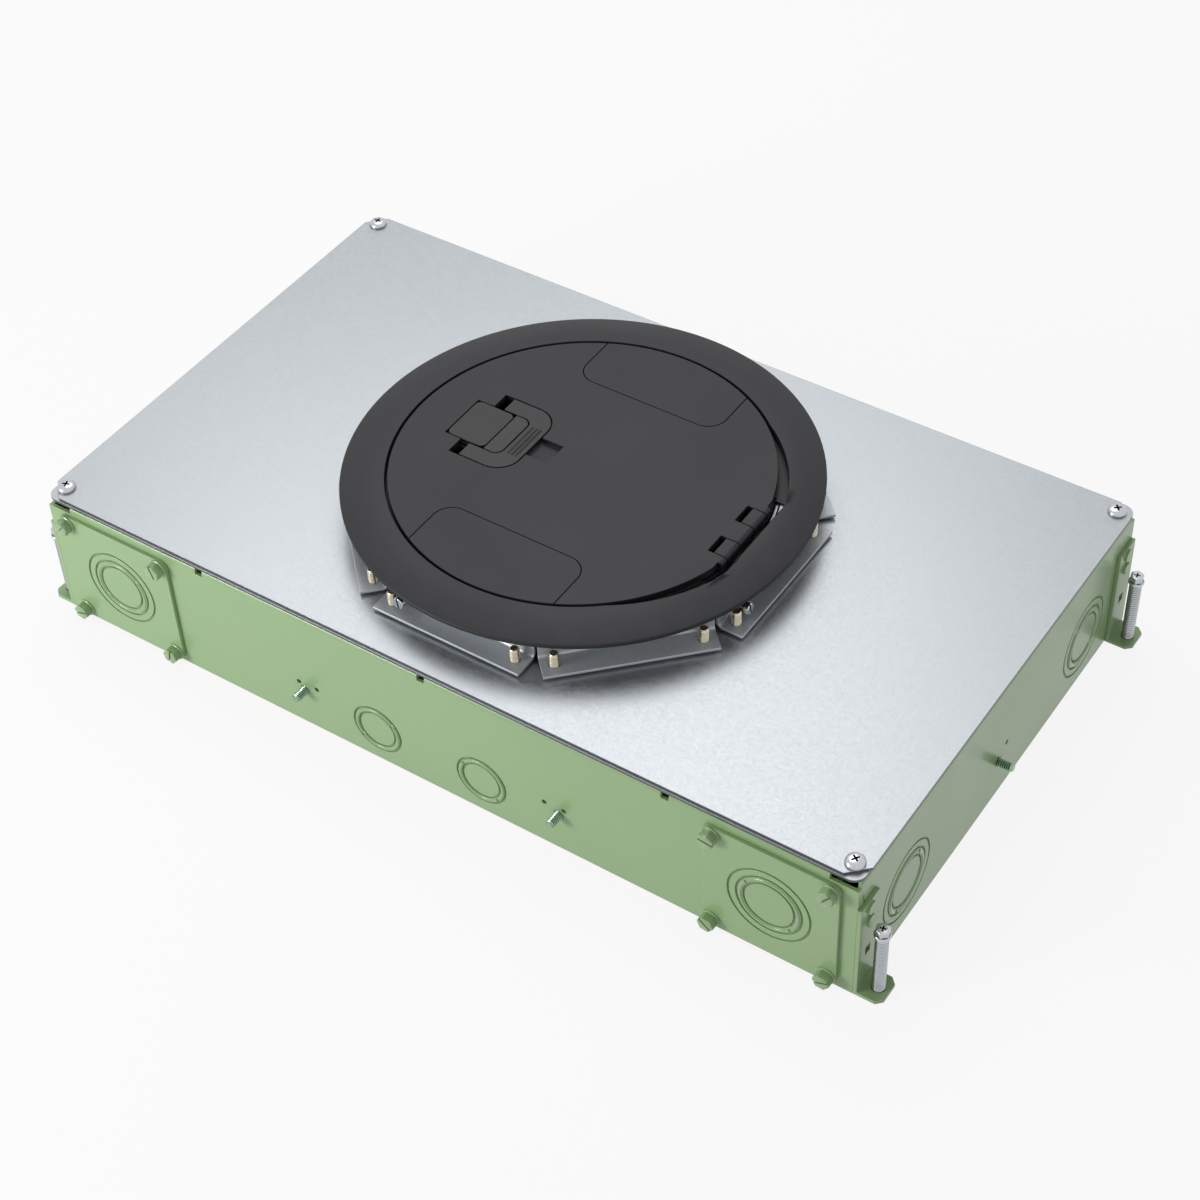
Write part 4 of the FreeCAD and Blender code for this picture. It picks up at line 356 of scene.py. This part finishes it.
def galvanised(name, tone, crystal, roughness, cut=1.0, contrast=0.03, metal=0.9):
    """Zinc coated sheet; faces that do not lie flat, such as its cut edges, get painted shade: darker by the
    factor cut.
    """
    made, g, shader = new_material(name, tone)
    group = placed_group(g, "Zinc spangle", spangle_group, Scale=1.0 / crystal)
    soft = g.math("ADD", g.math("MULTIPLY", group.outputs["Crystal"], 0.6),
                  g.math("MULTIPLY", group.outputs["Cloud"], 0.4))
    face = g.mix(soft, colour(shade(tone, 1 - contrast)), colour(shade(tone, 1 + contrast)))
    # Painted shade: faces that do not lie flat take the tone darkened by the factor cut.
    g.feed(shader.inputs["Base Color"], g.mix(group.outputs["Flat"], colour(shade(tone, cut)), face))
    shader.inputs["Metallic"].default_value = metal
    rough = g.math("ADD", g.spread(group.outputs["Crystal"], 0.0, 1.0, -0.03, 0.03),
                   g.spread(group.outputs["Grain"], 0.3, 0.7, roughness - 0.04, roughness + 0.04))
    g.feed(shader.inputs["Roughness"], rough)
    height = g.math("ADD", g.math("MULTIPLY", group.outputs["Grain"], 0.6), group.outputs["Crystal"])
    bumped(g, shader, height, 0.01 * MM, 0.3)
    return made


def plated(name, tone, roughness):
    """Plated fastener: bright metal with faint handling marks, and painted shade in its crevices."""
    made, g, shader = new_material(name, tone)
    marks = g.noise(g.place(), 900.0, 4.0).outputs["Fac"]
    # Painted shade: ambient occlusion darkens the base colour in the threads, recesses and slots.
    painted_crevice_shade = g.node("ShaderNodeAmbientOcclusion", {"Distance": 1.2 * MM}, samples=6)
    depth = g.spread(painted_crevice_shade.outputs["AO"], 0.35, 0.95, 0.22, 1.0)
    metal = g.mix(marks, colour(shade(tone, 0.86)), colour(tone))
    g.feed(shader.inputs["Base Color"], g.vector("MULTIPLY", metal, depth))
    shader.inputs["Metallic"].default_value = 1.0
    g.feed(shader.inputs["Roughness"], g.spread(marks, 0.3, 0.7, roughness - 0.05, roughness + 0.07))
    bumped(g, shader, marks, 0.02 * MM, 0.3)
    return made


def with_insert(made, tone):
    """Adds the latch's rough insert to the lid's material; returns the material."""
    g, shader = Graph(made.node_tree), node_of(made, "BSDF_PRINCIPLED")
    centre = (INSERT_X, 0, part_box("lid")[1][2])
    group = placed_group(g, "Latch insert", insert_group, Centre=centre, Half=INSERT_HALF)
    lid_tone = shader.inputs["Base Color"].links[0].from_socket
    insert_tone = g.mix(group.outputs["Grain"], colour(shade(tone, 0.5)), colour(shade(tone, 1.7)))
    g.feed(shader.inputs["Base Color"], g.mix(group.outputs["Mask"], lid_tone, insert_tone))
    bumped(g, shader, g.math("MULTIPLY", group.outputs["Mask"], group.outputs["Grain"]), 0.1 * MM, 0.6)
    return made


def powder_coated(name):
    """The finish that the cover, its doors and the lid share."""
    return coated(name, bpy.context.scene.floorbox_finish.cover, 0.46, peel=1400.0, grain=5200.0,
                  drift=0.05, speck=0.10, relief=0.04, shine=0.32)


def material(name):
    """The part's finishes by name, each made once."""
    found = bpy.data.materials.get(name)
    if found:
        return found
    s = bpy.context.scene.floorbox_finish
    makers = {
        "Green paint": lambda: coated(name, s.paint, 0.38, peel=700.0, grain=3000.0,
                                      drift=0.04, speck=0.02, coat=0.3),
        "Green screw paint": lambda: coated(name, shade(s.paint, 0.94), 0.30, peel=900.0, grain=3000.0,
                                            drift=0.05, speck=0.02, coat=0.5),
        "Green dyed zinc": lambda: plated(name, (0.32, 0.47, 0.33), 0.26),
        # The galvanised sheet's edges get painted shade, at 0.3 of its tone.
        "Galvanised sheet": lambda: galvanised(name, s.zinc, s.spangle, 0.38, cut=0.3, contrast=0.05),
        "Galvanised collar": lambda: galvanised(name, shade(s.zinc, 1.25), s.spangle, 0.40,
                                                contrast=0.06, metal=0.45),
        "Zinc sheet": lambda: galvanised(name, shade(s.zinc, 0.9), s.spangle, 0.42),
        "Bright zinc": lambda: plated(name, (0.56, 0.58, 0.61), 0.22),
        "Set screw": lambda: plated(name, (0.72, 0.66, 0.52), 0.27),
        "Black cover": lambda: powder_coated(name),
        "Black lid": lambda: with_insert(powder_coated(name), (0.045, 0.045, 0.045)),
        "Black latch": lambda: coated(name, shade(s.cover, 0.9), 0.38, peel=1800.0, grain=6000.0,
                                      drift=0.05, speck=0.08, relief=0.03, shine=0.36),
        "Gasket rubber": lambda: coated(name, (0.012, 0.012, 0.012), 0.7, peel=900.0, grain=3000.0),
        "Receptacle": lambda: coated(name, (0.72, 0.70, 0.64), 0.38, peel=500.0, grain=2500.0, drift=0.03),
        "Jack": lambda: coated(name, (0.03, 0.10, 0.30), 0.4, peel=500.0, grain=2500.0, drift=0.04),
    }
    return makers[name]()


# ---------------------------------------------------------------- mesh helpers
def finish_node(node, material_name, edge):
    """Gives a CAD node its material, smooth curves and softened edges."""
    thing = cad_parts[node]
    thing.data.materials.clear()
    thing.data.materials.append(material(material_name))
    normals = thing.data.attributes.get("custom_normal")
    if normals:
        thing.data.attributes.remove(normals)
    thing.data.shade_smooth()
    weld = thing.modifiers.new("Joined triangles", "WELD")
    weld.merge_threshold = 1e-6
    if edge > 0:
        flat = thing.modifiers.new("Whole faces", "DECIMATE")
        flat.decimate_type = "DISSOLVE"
        flat.angle_limit = math.radians(0.3)
        bevel = thing.modifiers.new("Softened edges", "BEVEL")
        bevel.width = edge
        bevel.segments = 2
        bevel.limit_method = "ANGLE"
        bevel.angle_limit = SHARP
        bevel.harden_normals = True
        bevel.use_clamp_overlap = False
        bevel.miter_outer = "MITER_ARC"
    else:
        split = thing.modifiers.new("Crisp edges", "EDGE_SPLIT")
        split.split_angle = SHARP


def turned(outline, steps, closed=False):
    """Spins (radius, height) points about Z: a solid from axis to axis, or a ring from a closed section."""
    bm = bmesh.new()
    verts = [bm.verts.new((radius, 0.0, height)) for radius, height in outline]
    following = verts[1:] + verts[:1] if closed else verts[1:]
    edges = [bm.edges.new(pair) for pair in zip(verts, following)]
    bmesh.ops.spin(bm, geom=verts + edges, cent=(0, 0, 0), axis=(0, 0, 1), angle=2 * math.pi,
                   steps=steps, use_merge=True)
    bmesh.ops.remove_doubles(bm, verts=bm.verts, dist=1e-6)
    bmesh.ops.recalc_face_normals(bm, faces=bm.faces)
    return bm


def hexagon_prism(radius, top_radius, height, base):
    """Hexagonal prism that stands on the height base."""
    bm = bmesh.new()
    bmesh.ops.create_cone(bm, cap_ends=True, cap_tris=False, segments=6, radius1=radius, radius2=top_radius,
                          depth=height, matrix=Matrix.Translation((0, 0, base + height / 2)))
    return bm


def hexagon_head(radius, height, base, edge):
    """Hexagonal screw head with softened edges, standing on the height base."""
    bm = hexagon_prism(radius, radius * 0.985, height, base)
    edges = [e for e in bm.edges if len(e.link_faces) == 2 and e.calc_face_angle() > SHARP]
    bmesh.ops.bevel(bm, geom=edges, offset=edge, segments=3, profile=0.5, affect="EDGES", material=-1,
                    clamp_overlap=True)
    return bm


def bar(size, centre, taper=1.0):
    """Bar used as a cutter; its lower end is narrowed by taper."""
    bm = bmesh.new()
    bmesh.ops.create_cube(bm, size=1.0, matrix=Matrix.Translation(centre) @ Matrix.Diagonal((*size, 1.0)))
    low = [v for v in bm.verts if v.co.z < centre[2]]
    bmesh.ops.scale(bm, vec=(taper, taper, 1.0), verts=low)
    return bm


def as_mesh(bm, name):
    """Turns a bmesh into a mesh and frees it."""
    mesh = bpy.data.meshes.new(name)
    bm.to_mesh(mesh)
    bm.free()
    return mesh


def combined(*parts):
    """One mesh holding several."""
    whole = bmesh.new()
    for part in parts:
        mesh = as_mesh(part, "part")
        whole.from_mesh(mesh)
        bpy.data.meshes.remove(mesh)
    return whole


def cut_by(solid, cutter):
    """The solid less the cutter."""
    body = bpy.data.objects.new("cut_body", as_mesh(solid, "cut_body"))
    tool = bpy.data.objects.new("cut_tool", as_mesh(cutter, "cut_tool"))
    for thing in (body, tool):
        bpy.context.scene.collection.objects.link(thing)
    boolean = body.modifiers.new("cut", "BOOLEAN")
    boolean.operation = "DIFFERENCE"
    boolean.solver = "EXACT"
    boolean.use_self = True       # the bars of a cross recess pass through each other
    boolean.object = tool
    result = bmesh.new()
    result.from_object(body, bpy.context.evaluated_depsgraph_get())
    for thing in (body, tool):
        mesh = thing.data
        bpy.data.objects.remove(thing)
        bpy.data.meshes.remove(mesh)
    if not result.faces:
        raise RuntimeError("a cut left nothing")
    return result


def cross_recess(radius, depth, top):
    """Cutter for a cross recess: two tapered bars."""
    bars = []
    for turn in (0, 90):
        one = bar((radius * 2, radius * 0.5, depth * 2), (0, 0, top), 0.55)
        spin = Matrix.Rotation(math.radians(turn), 3, "Z")
        bmesh.ops.rotate(one, cent=(0, 0, 0), matrix=spin, verts=one.verts)
        bars.append(one)
    return combined(*bars)


def thread_profile(radius, groove, pitch, low, high):
    """Zigzag outline of a screw's thread, as (radius, height) points from low to high."""
    points = []
    height = low
    while height + pitch <= high:
        crest = [(radius, height + pitch * 0.42), (radius, height + pitch * 0.58)]
        points += [(radius - groove, height)] + crest
        height += pitch
    return points + [(radius - groove, height), (radius - groove, high)]


AXES = {
    "+Z": Matrix.Identity(3),
    "+X": Matrix.Rotation(math.pi / 2, 3, "Y"),
    "-X": Matrix.Rotation(-math.pi / 2, 3, "Y"),
    "+Y": Matrix.Rotation(-math.pi / 2, 3, "X"),
    "-Y": Matrix.Rotation(math.pi / 2, 3, "X"),
}


def outward(axis, side):
    """Name of the axis that points out of the box on the side 1 or -1."""
    return ("+" if side > 0 else "-") + axis


def set_out(bm, name, spots, material_name, body, replaces, angle=35.0):
    """One piece with a copy of the mesh at every spot: (point, axis, turn in degrees)."""
    master = as_mesh(bm, name + "_master")
    whole = bmesh.new()
    for point, axis, turn in spots:
        before = len(whole.verts)
        whole.from_mesh(master)
        whole.verts.ensure_lookup_table()
        fresh = whole.verts[before:]
        spin = AXES[axis] @ Matrix.Rotation(math.radians(turn), 3, "Z")
        bmesh.ops.rotate(whole, cent=(0, 0, 0), matrix=spin, verts=fresh)
        bmesh.ops.translate(whole, vec=Vector(point), verts=fresh)
    bpy.data.meshes.remove(master)
    mesh = as_mesh(whole, name)
    mesh.materials.append(material(material_name))
    mesh.shade_smooth()
    mesh.set_sharp_from_angle(angle=math.radians(angle))
    thing = bpy.data.objects.new(name, mesh)
    bpy.context.scene.collection.objects.link(thing)
    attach(thing, body)
    if replaces:
        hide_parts(*replaces)


# ---------------------------------------------------------------- the pieces
class FLOORBOX_OT_sheet_metal(bpy.types.Operator):
    """Finish the box, the plates, the collar, the cover and the fittings inside"""
    bl_idname = "floorbox.sheet_metal"
    bl_label = "Finish Sheet Metal"

    def execute(self, context):
        edge = context.scene.floorbox_finish.edge
        for node, (finish, share) in NODE_FINISHES.items():
            finish_node(node, finish, edge * share)
        return {"FINISHED"}


class FLOORBOX_OT_cover_screws(bpy.types.Operator):
    """Model the four pan head screws that hold the cover plates"""
    bl_idname = "floorbox.cover_screws"
    bl_label = "Model Cover Screws"

    def execute(self, context):
        s = context.scene.floorbox_screws
        low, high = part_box("cover_screws")
        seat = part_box("upper_cover_plate")[1][2]
        r, rise, tip = s.pan_radius, high[2] - seat, low[2] - seat
        crown = [(SHANK, 0), (r * 0.98, 0), (r, rise * 0.18), (r * 0.93, rise * 0.55),
                 (r * 0.75, rise * 0.84), (r * 0.45, rise * 0.97), (0, rise)]
        thread = thread_profile(SHANK, FINE_GROOVE, FINE_PITCH, tip, 0)
        head = turned([(0, tip)] + thread + crown, s.steps)
        screw = cut_by(head, cross_recess(r * 0.56, rise * 0.75, rise))
        spots = []
        for sx, sy in CORNERS:
            spots.append((((high[0] - r) * sx, (high[1] - r) * sy, seat), "+Z", 20 + 37 * len(spots)))
        set_out(screw, "cover_screw_set", spots, "Bright zinc", "box", ["cover_screws"])
        return {"FINISHED"}


class FLOORBOX_OT_plate_screws(bpy.types.Operator):
    """Model the slotted hexagon washer head screws of the knockout plates"""
    bl_idname = "floorbox.plate_screws"
    bl_label = "Model Knockout Plate Screws"

    def execute(self, context):
        s = context.scene.floorbox_screws
        spots = []
        for sx, sy in CORNERS:
            low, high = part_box(CORNER_NAMES[(sx, sy)] + "_knockout_plate")
            face = max(abs(low[1]), abs(high[1]))
            for px in (-1, 1):
                for pz in (-1, 1):
                    x = (low[0] + high[0]) / 2 + px * s.plate_pitch_x / 2
                    z = (low[2] + high[2]) / 2 + pz * s.plate_pitch_z / 2
                    spots.append(((x, sy * face, z), outward("Y", sy), 17 + 31 * len(spots)))
        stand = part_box("knockout_plate_screws")[1][1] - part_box("rear_right_knockout_plate")[1][1]
        rim, crown, base, tip = 0.7 * MM, 1.0 * MM, 0.8 * MM, -9.0 * MM
        washer = turned([(0, 0), (s.washer, 0), (s.washer, rim), (s.washer * 0.9, crown), (0, crown)],
                        s.steps)
        slot_width, slot_depth = 1.0 * MM, 1.3 * MM
        slot = bar((s.hexagon * 2.4, slot_width, slot_depth * 2), (0, 0, stand))
        head = cut_by(hexagon_head(s.hexagon, stand - base, base, 0.25 * MM), slot)
        thread = thread_profile(SHANK, 0.3 * MM, FINE_PITCH, tip, 0)
        shank = turned([(0, tip)] + thread + [(0, 0)], 16)
        set_out(combined(washer, head, shank), "knockout_plate_screw_set", spots, "Green screw paint", "box",
                ["knockout_plate_screws"], 30.0)
        return {"FINISHED"}


class FLOORBOX_OT_knockout_beads(bpy.types.Operator):
    """Model the raised beads between the cut rings of the knockouts"""
    bl_idname = "floorbox.knockout_beads"
    bl_label = "Model Knockout Beads"

    def execute(self, context):
        for kind, (radius, places) in context.scene.floorbox_knockouts.beads().items():
            spots = []
            for (x, y, z), axis in places:
                for sx, sy in CORNERS:
                    side = sy if axis == "Y" else sx
                    spots.append(((sx * x, sy * y, z), outward(axis, side), 40 * sx * sy))
            section = [(radius + across * MM, out * MM) for across, out in BEAD_SECTION]
            gap = bar((4 * radius, 2.0 * MM, 2.0 * MM), (0, 0, 0.2 * MM))
            bead = cut_by(turned(section, RING_STEPS, closed=True), gap)
            set_out(bead, "knockout_bead_" + kind, spots, "Green screw paint", "box", [])
        return {"FINISHED"}


class FLOORBOX_OT_ground_screws(bpy.types.Operator):
    """Model the green ground screws, whose threads stand out of the walls"""
    bl_idname = "floorbox.ground_screws"
    bl_label = "Model Ground Screws"

    def execute(self, context):
        low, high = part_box("ground_screws")
        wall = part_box("box_body")[1]
        z = (low[2] + high[2]) / 2
        stand = high[1] - wall[1]
        head_radius, head_low, head_high = 4.6 * MM, -5.0 * MM, -2.0 * MM
        head = [(0, head_low), (head_radius, head_low), (head_radius, head_high), (1.9 * MM, head_high)]
        thread = thread_profile(2.4 * MM, 0.5 * MM, 1.0 * MM, -1.9 * MM, stand - 0.6 * MM)
        screw = turned(head + thread + [(1.6 * MM, stand), (0, stand)], SMALL_STEPS)
        spots = [((wall[0], 0, z), "+X", 0), ((-wall[0], 0, z), "-X", 0)]
        for sx in (-1, 1):
            for sy in (-1, 1):
                spots.append(((sx * GROUND_X, sy * wall[1], z), outward("Y", sy), 0))
        set_out(screw, "ground_screw_set", spots, "Green dyed zinc", "box", ["ground_screws"])
        return {"FINISHED"}


class FLOORBOX_OT_levelling_screws(bpy.types.Operator):
    """Model the four threaded levelling screws"""
    bl_idname = "floorbox.levelling_screws"
    bl_label = "Model Levelling Screws"

    def execute(self, context):
        s = context.scene.floorbox_screws
        r, washer = LEVELLING_SHANK, s.levelling_washer
        for corner in CORNER_NAMES.values():
            low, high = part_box(corner + "_levelling_screw")
            centre = ((low[0] + high[0]) / 2, (low[1] + high[1]) / 2, 0)
            top = high[2]
            seat = top - 4.6 * MM
            rim, crown, base = seat + 0.8 * MM, seat + 1.2 * MM, seat + 1.0 * MM
            thread = thread_profile(r, s.groove, s.pitch, 0.5 * MM, seat - 0.3 * MM)
            flange = [(r, seat), (washer, seat), (washer, rim), (washer * 0.9, crown), (0, crown)]
            shank = turned([(0, 0), (2.2 * MM, 0)] + thread + flange, s.steps)
            cap = hexagon_head(s.levelling_hexagon, top - seat - 1.0 * MM, base, 0.3 * MM)
            cap = cut_by(cap, cross_recess(2.0 * MM, 2.0 * MM, top))
            set_out(combined(shank, cap), corner + "_levelling_thread", [(centre, "+Z", 13)], "Bright zinc",
                    corner + "_jack", [corner + "_levelling_screw"])
        return {"FINISHED"}


def on_octagon(k, apothem, offset):
    """Point at an apothem and a sideways offset on side k, counted from +X."""
    c, s = math.cos(math.pi * k / 4), math.sin(math.pi * k / 4)
    return apothem * c - offset * s, apothem * s + offset * c


class FLOORBOX_OT_collar_screws(bpy.types.Operator):
    """Model the socket set screws in the feet and the radial clamp screws"""
    bl_idname = "floorbox.collar_screws"
    bl_label = "Model Collar Screws"

    def execute(self, context):
        self.set_screws()
        self.clamp_screws()
        return {"FINISHED"}

    def set_screws(self):
        low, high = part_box("levelling_set_screws")
        r, tall = 2.5 * MM, high[2] - low[2]
        thread = thread_profile(r, FINE_GROOVE, FINE_PITCH, 0.6 * MM, tall - 0.3 * MM)
        stud = turned([(0, 0), (1.7 * MM, 0)] + thread + [(1.9 * MM, tall), (0, tall)], SMALL_STEPS)
        key, depth = 1.45 * MM, 2.5 * MM
        socket = hexagon_prism(key, key, depth * 2, tall - depth)
        spots = []
        for k in range(8):
            for side in (-1, 1):
                x, y = on_octagon(k, high[0] - r, side * SET_SCREW_OFFSET)
                spots.append(((x, y, low[2]), "+Z", 23 * len(spots)))
        set_out(cut_by(stud, socket), "set_screw_set", spots, "Set screw", "box", ["levelling_set_screws"])

    def clamp_screws(self):
        low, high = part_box("collar_clamp_screws")
        z, head, reach = (low[2] + high[2]) / 2, (high[2] - low[2]) / 2, high[0]
        r, back, tip = 2.5 * MM, -5.0 * MM, -19.5 * MM
        profile = [(0, 0), (head * 0.86, 0), (head, -0.4 * MM), (head, -4.7 * MM), (head * 0.9, back),
                   (r, back), (r, tip), (0, tip)]
        slot = bar((head * 2.4, 0.9 * MM, 2.4 * MM), (0, 0, 0))
        off = CLAMP_OFFSET
        spots = [((reach, -off, z), "+X", 10), ((-reach, -off, z), "-X", 60),
                 ((-off, -reach, z), "-Y", 100), ((-off, reach, z), "+Y", 35)]
        screw = cut_by(turned(profile, SMALL_STEPS), slot)
        set_out(screw, "clamp_screw_set", spots, "Bright zinc", "cover_ring", ["collar_clamp_screws"])


# ---------------------------------------------------------------- the studio
def shown_white(g):
    """1 for the rays that see the surroundings as white: the camera's, and those in metal and glass."""
    path = g.node("ShaderNodeLightPath")
    mirrored = g.math("MAXIMUM", path.outputs["Is Glossy Ray"], path.outputs["Is Transmission Ray"])
    return g.math("MAXIMUM", path.outputs["Is Camera Ray"], mirrored)


class FLOORBOX_OT_stage(bpy.types.Operator):
    """Set up the floor, the surroundings, the lights and the camera"""
    bl_idname = "floorbox.stage"
    bl_label = "Set Up Studio"

    def execute(self, context):
        scene = context.scene
        s = scene.floorbox_stage
        self.floor(scene)
        self.world(scene, s.sky)
        self.light(scene, "Softbox", s.softbox)
        self.light(scene, "Left key", s.left_key)
        self.camera(scene, s)
        scene.view_settings.view_transform = "Standard"
        return {"FINISHED"}

    def floor(self, scene):
        bm = bmesh.new()
        bmesh.ops.create_grid(bm, x_segments=1, y_segments=1, size=4.0)
        tone = (0.93, 0.93, 0.93)
        made, g, shader = new_material("Studio floor", tone)
        shader.inputs["Base Color"].default_value = colour(tone)
        shader.inputs["Roughness"].default_value = 0.9
        glow = g.node("ShaderNodeEmission", {"Color": (1, 1, 1, 1), "Strength": 1.0})
        share = g.math("MULTIPLY", shown_white(g), FLOOR_GLOW)
        both = {0: share, 1: shader.outputs["BSDF"], 2: glow.outputs["Emission"]}
        mixed = g.node("ShaderNodeMixShader", both)
        g.feed(node_of(made, "OUTPUT_MATERIAL").inputs["Surface"], mixed.outputs["Shader"])
        mesh = as_mesh(bm, "studio_floor")
        mesh.materials.append(made)
        thing = bpy.data.objects.new("studio_floor", mesh)
        scene.collection.objects.link(thing)

    def world(self, scene, sky):
        world = bpy.data.worlds.new("Studio")
        scene.world = world
        world.use_nodes = True
        world.node_tree.nodes.clear()
        g = Graph(world.node_tree)
        back = g.node("ShaderNodeBackground", {"Color": (0.97, 0.985, 1.0, 1.0), "Strength": sky})
        white = g.node("ShaderNodeBackground", {"Color": (1, 1, 1, 1), "Strength": 1.0})
        mixed = g.node("ShaderNodeMixShader", {0: shown_white(g), 1: back.outputs[0], 2: white.outputs[0]})
        g.node("ShaderNodeOutputWorld", {"Surface": mixed.outputs[0]})

    def light(self, scene, name, power):
        place, target, size = LIGHTS[name]
        data = bpy.data.lights.new(name, "AREA")
        data.shape = "SQUARE"
        data.size = size
        data.energy = power
        thing = bpy.data.objects.new(name, data)
        thing.location = place
        thing.rotation_euler = (Vector(target) - Vector(place)).to_track_quat("-Z", "Y").to_euler()
        scene.collection.objects.link(thing)

    def camera(self, scene, s):
        lens = bpy.data.cameras.new("Camera")
        lens.lens = s.lens
        lens.clip_start = 0.01
        camera = bpy.data.objects.new("Camera", lens)
        camera.location = s.eye
        camera.rotation_euler = s.turn
        scene.collection.objects.link(camera)
        scene.camera = camera


class FLOORBOX_PT_panel(bpy.types.Panel):
    bl_idname = "FLOORBOX_PT_panel"
    bl_label = "Floor Socket Box"
    bl_space_type = "VIEW_3D"
    bl_region_type = "UI"
    bl_category = "Floor Box"

    def draw(self, context):
        for key, group in SETTINGS.items():
            column = self.layout.column()
            for name in group.__annotations__:
                column.prop(getattr(context.scene, key), name)
        for operator in OPERATORS:
            self.layout.operator(operator.bl_idname)


OPERATORS = (FLOORBOX_OT_sheet_metal, FLOORBOX_OT_cover_screws, FLOORBOX_OT_plate_screws,
             FLOORBOX_OT_knockout_beads, FLOORBOX_OT_ground_screws, FLOORBOX_OT_levelling_screws,
             FLOORBOX_OT_collar_screws, FLOORBOX_OT_stage)
SETTINGS = {"floorbox_finish": FinishSettings, "floorbox_knockouts": KnockoutSettings,
            "floorbox_screws": ScrewSettings, "floorbox_stage": StageSettings}


def register():
    for name, group in SETTINGS.items():
        bpy.utils.register_class(group)
        setattr(bpy.types.Scene, name, PointerProperty(type=group))
    for operator in OPERATORS:
        bpy.utils.register_class(operator)
    bpy.utils.register_class(FLOORBOX_PT_panel)


def unregister():
    bpy.utils.unregister_class(FLOORBOX_PT_panel)
    for operator in reversed(OPERATORS):
        bpy.utils.unregister_class(operator)
    for name, group in SETTINGS.items():
        delattr(bpy.types.Scene, name)
        bpy.utils.unregister_class(group)


def main():
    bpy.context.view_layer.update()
    register()
    bpy.ops.floorbox.sheet_metal()
    bpy.ops.floorbox.cover_screws()
    bpy.ops.floorbox.plate_screws()
    bpy.ops.floorbox.knockout_beads()
    bpy.ops.floorbox.ground_screws()
    bpy.ops.floorbox.levelling_screws()
    bpy.ops.floorbox.collar_screws()
    bpy.ops.floorbox.stage()


if __name__ == "__main__":
    main()
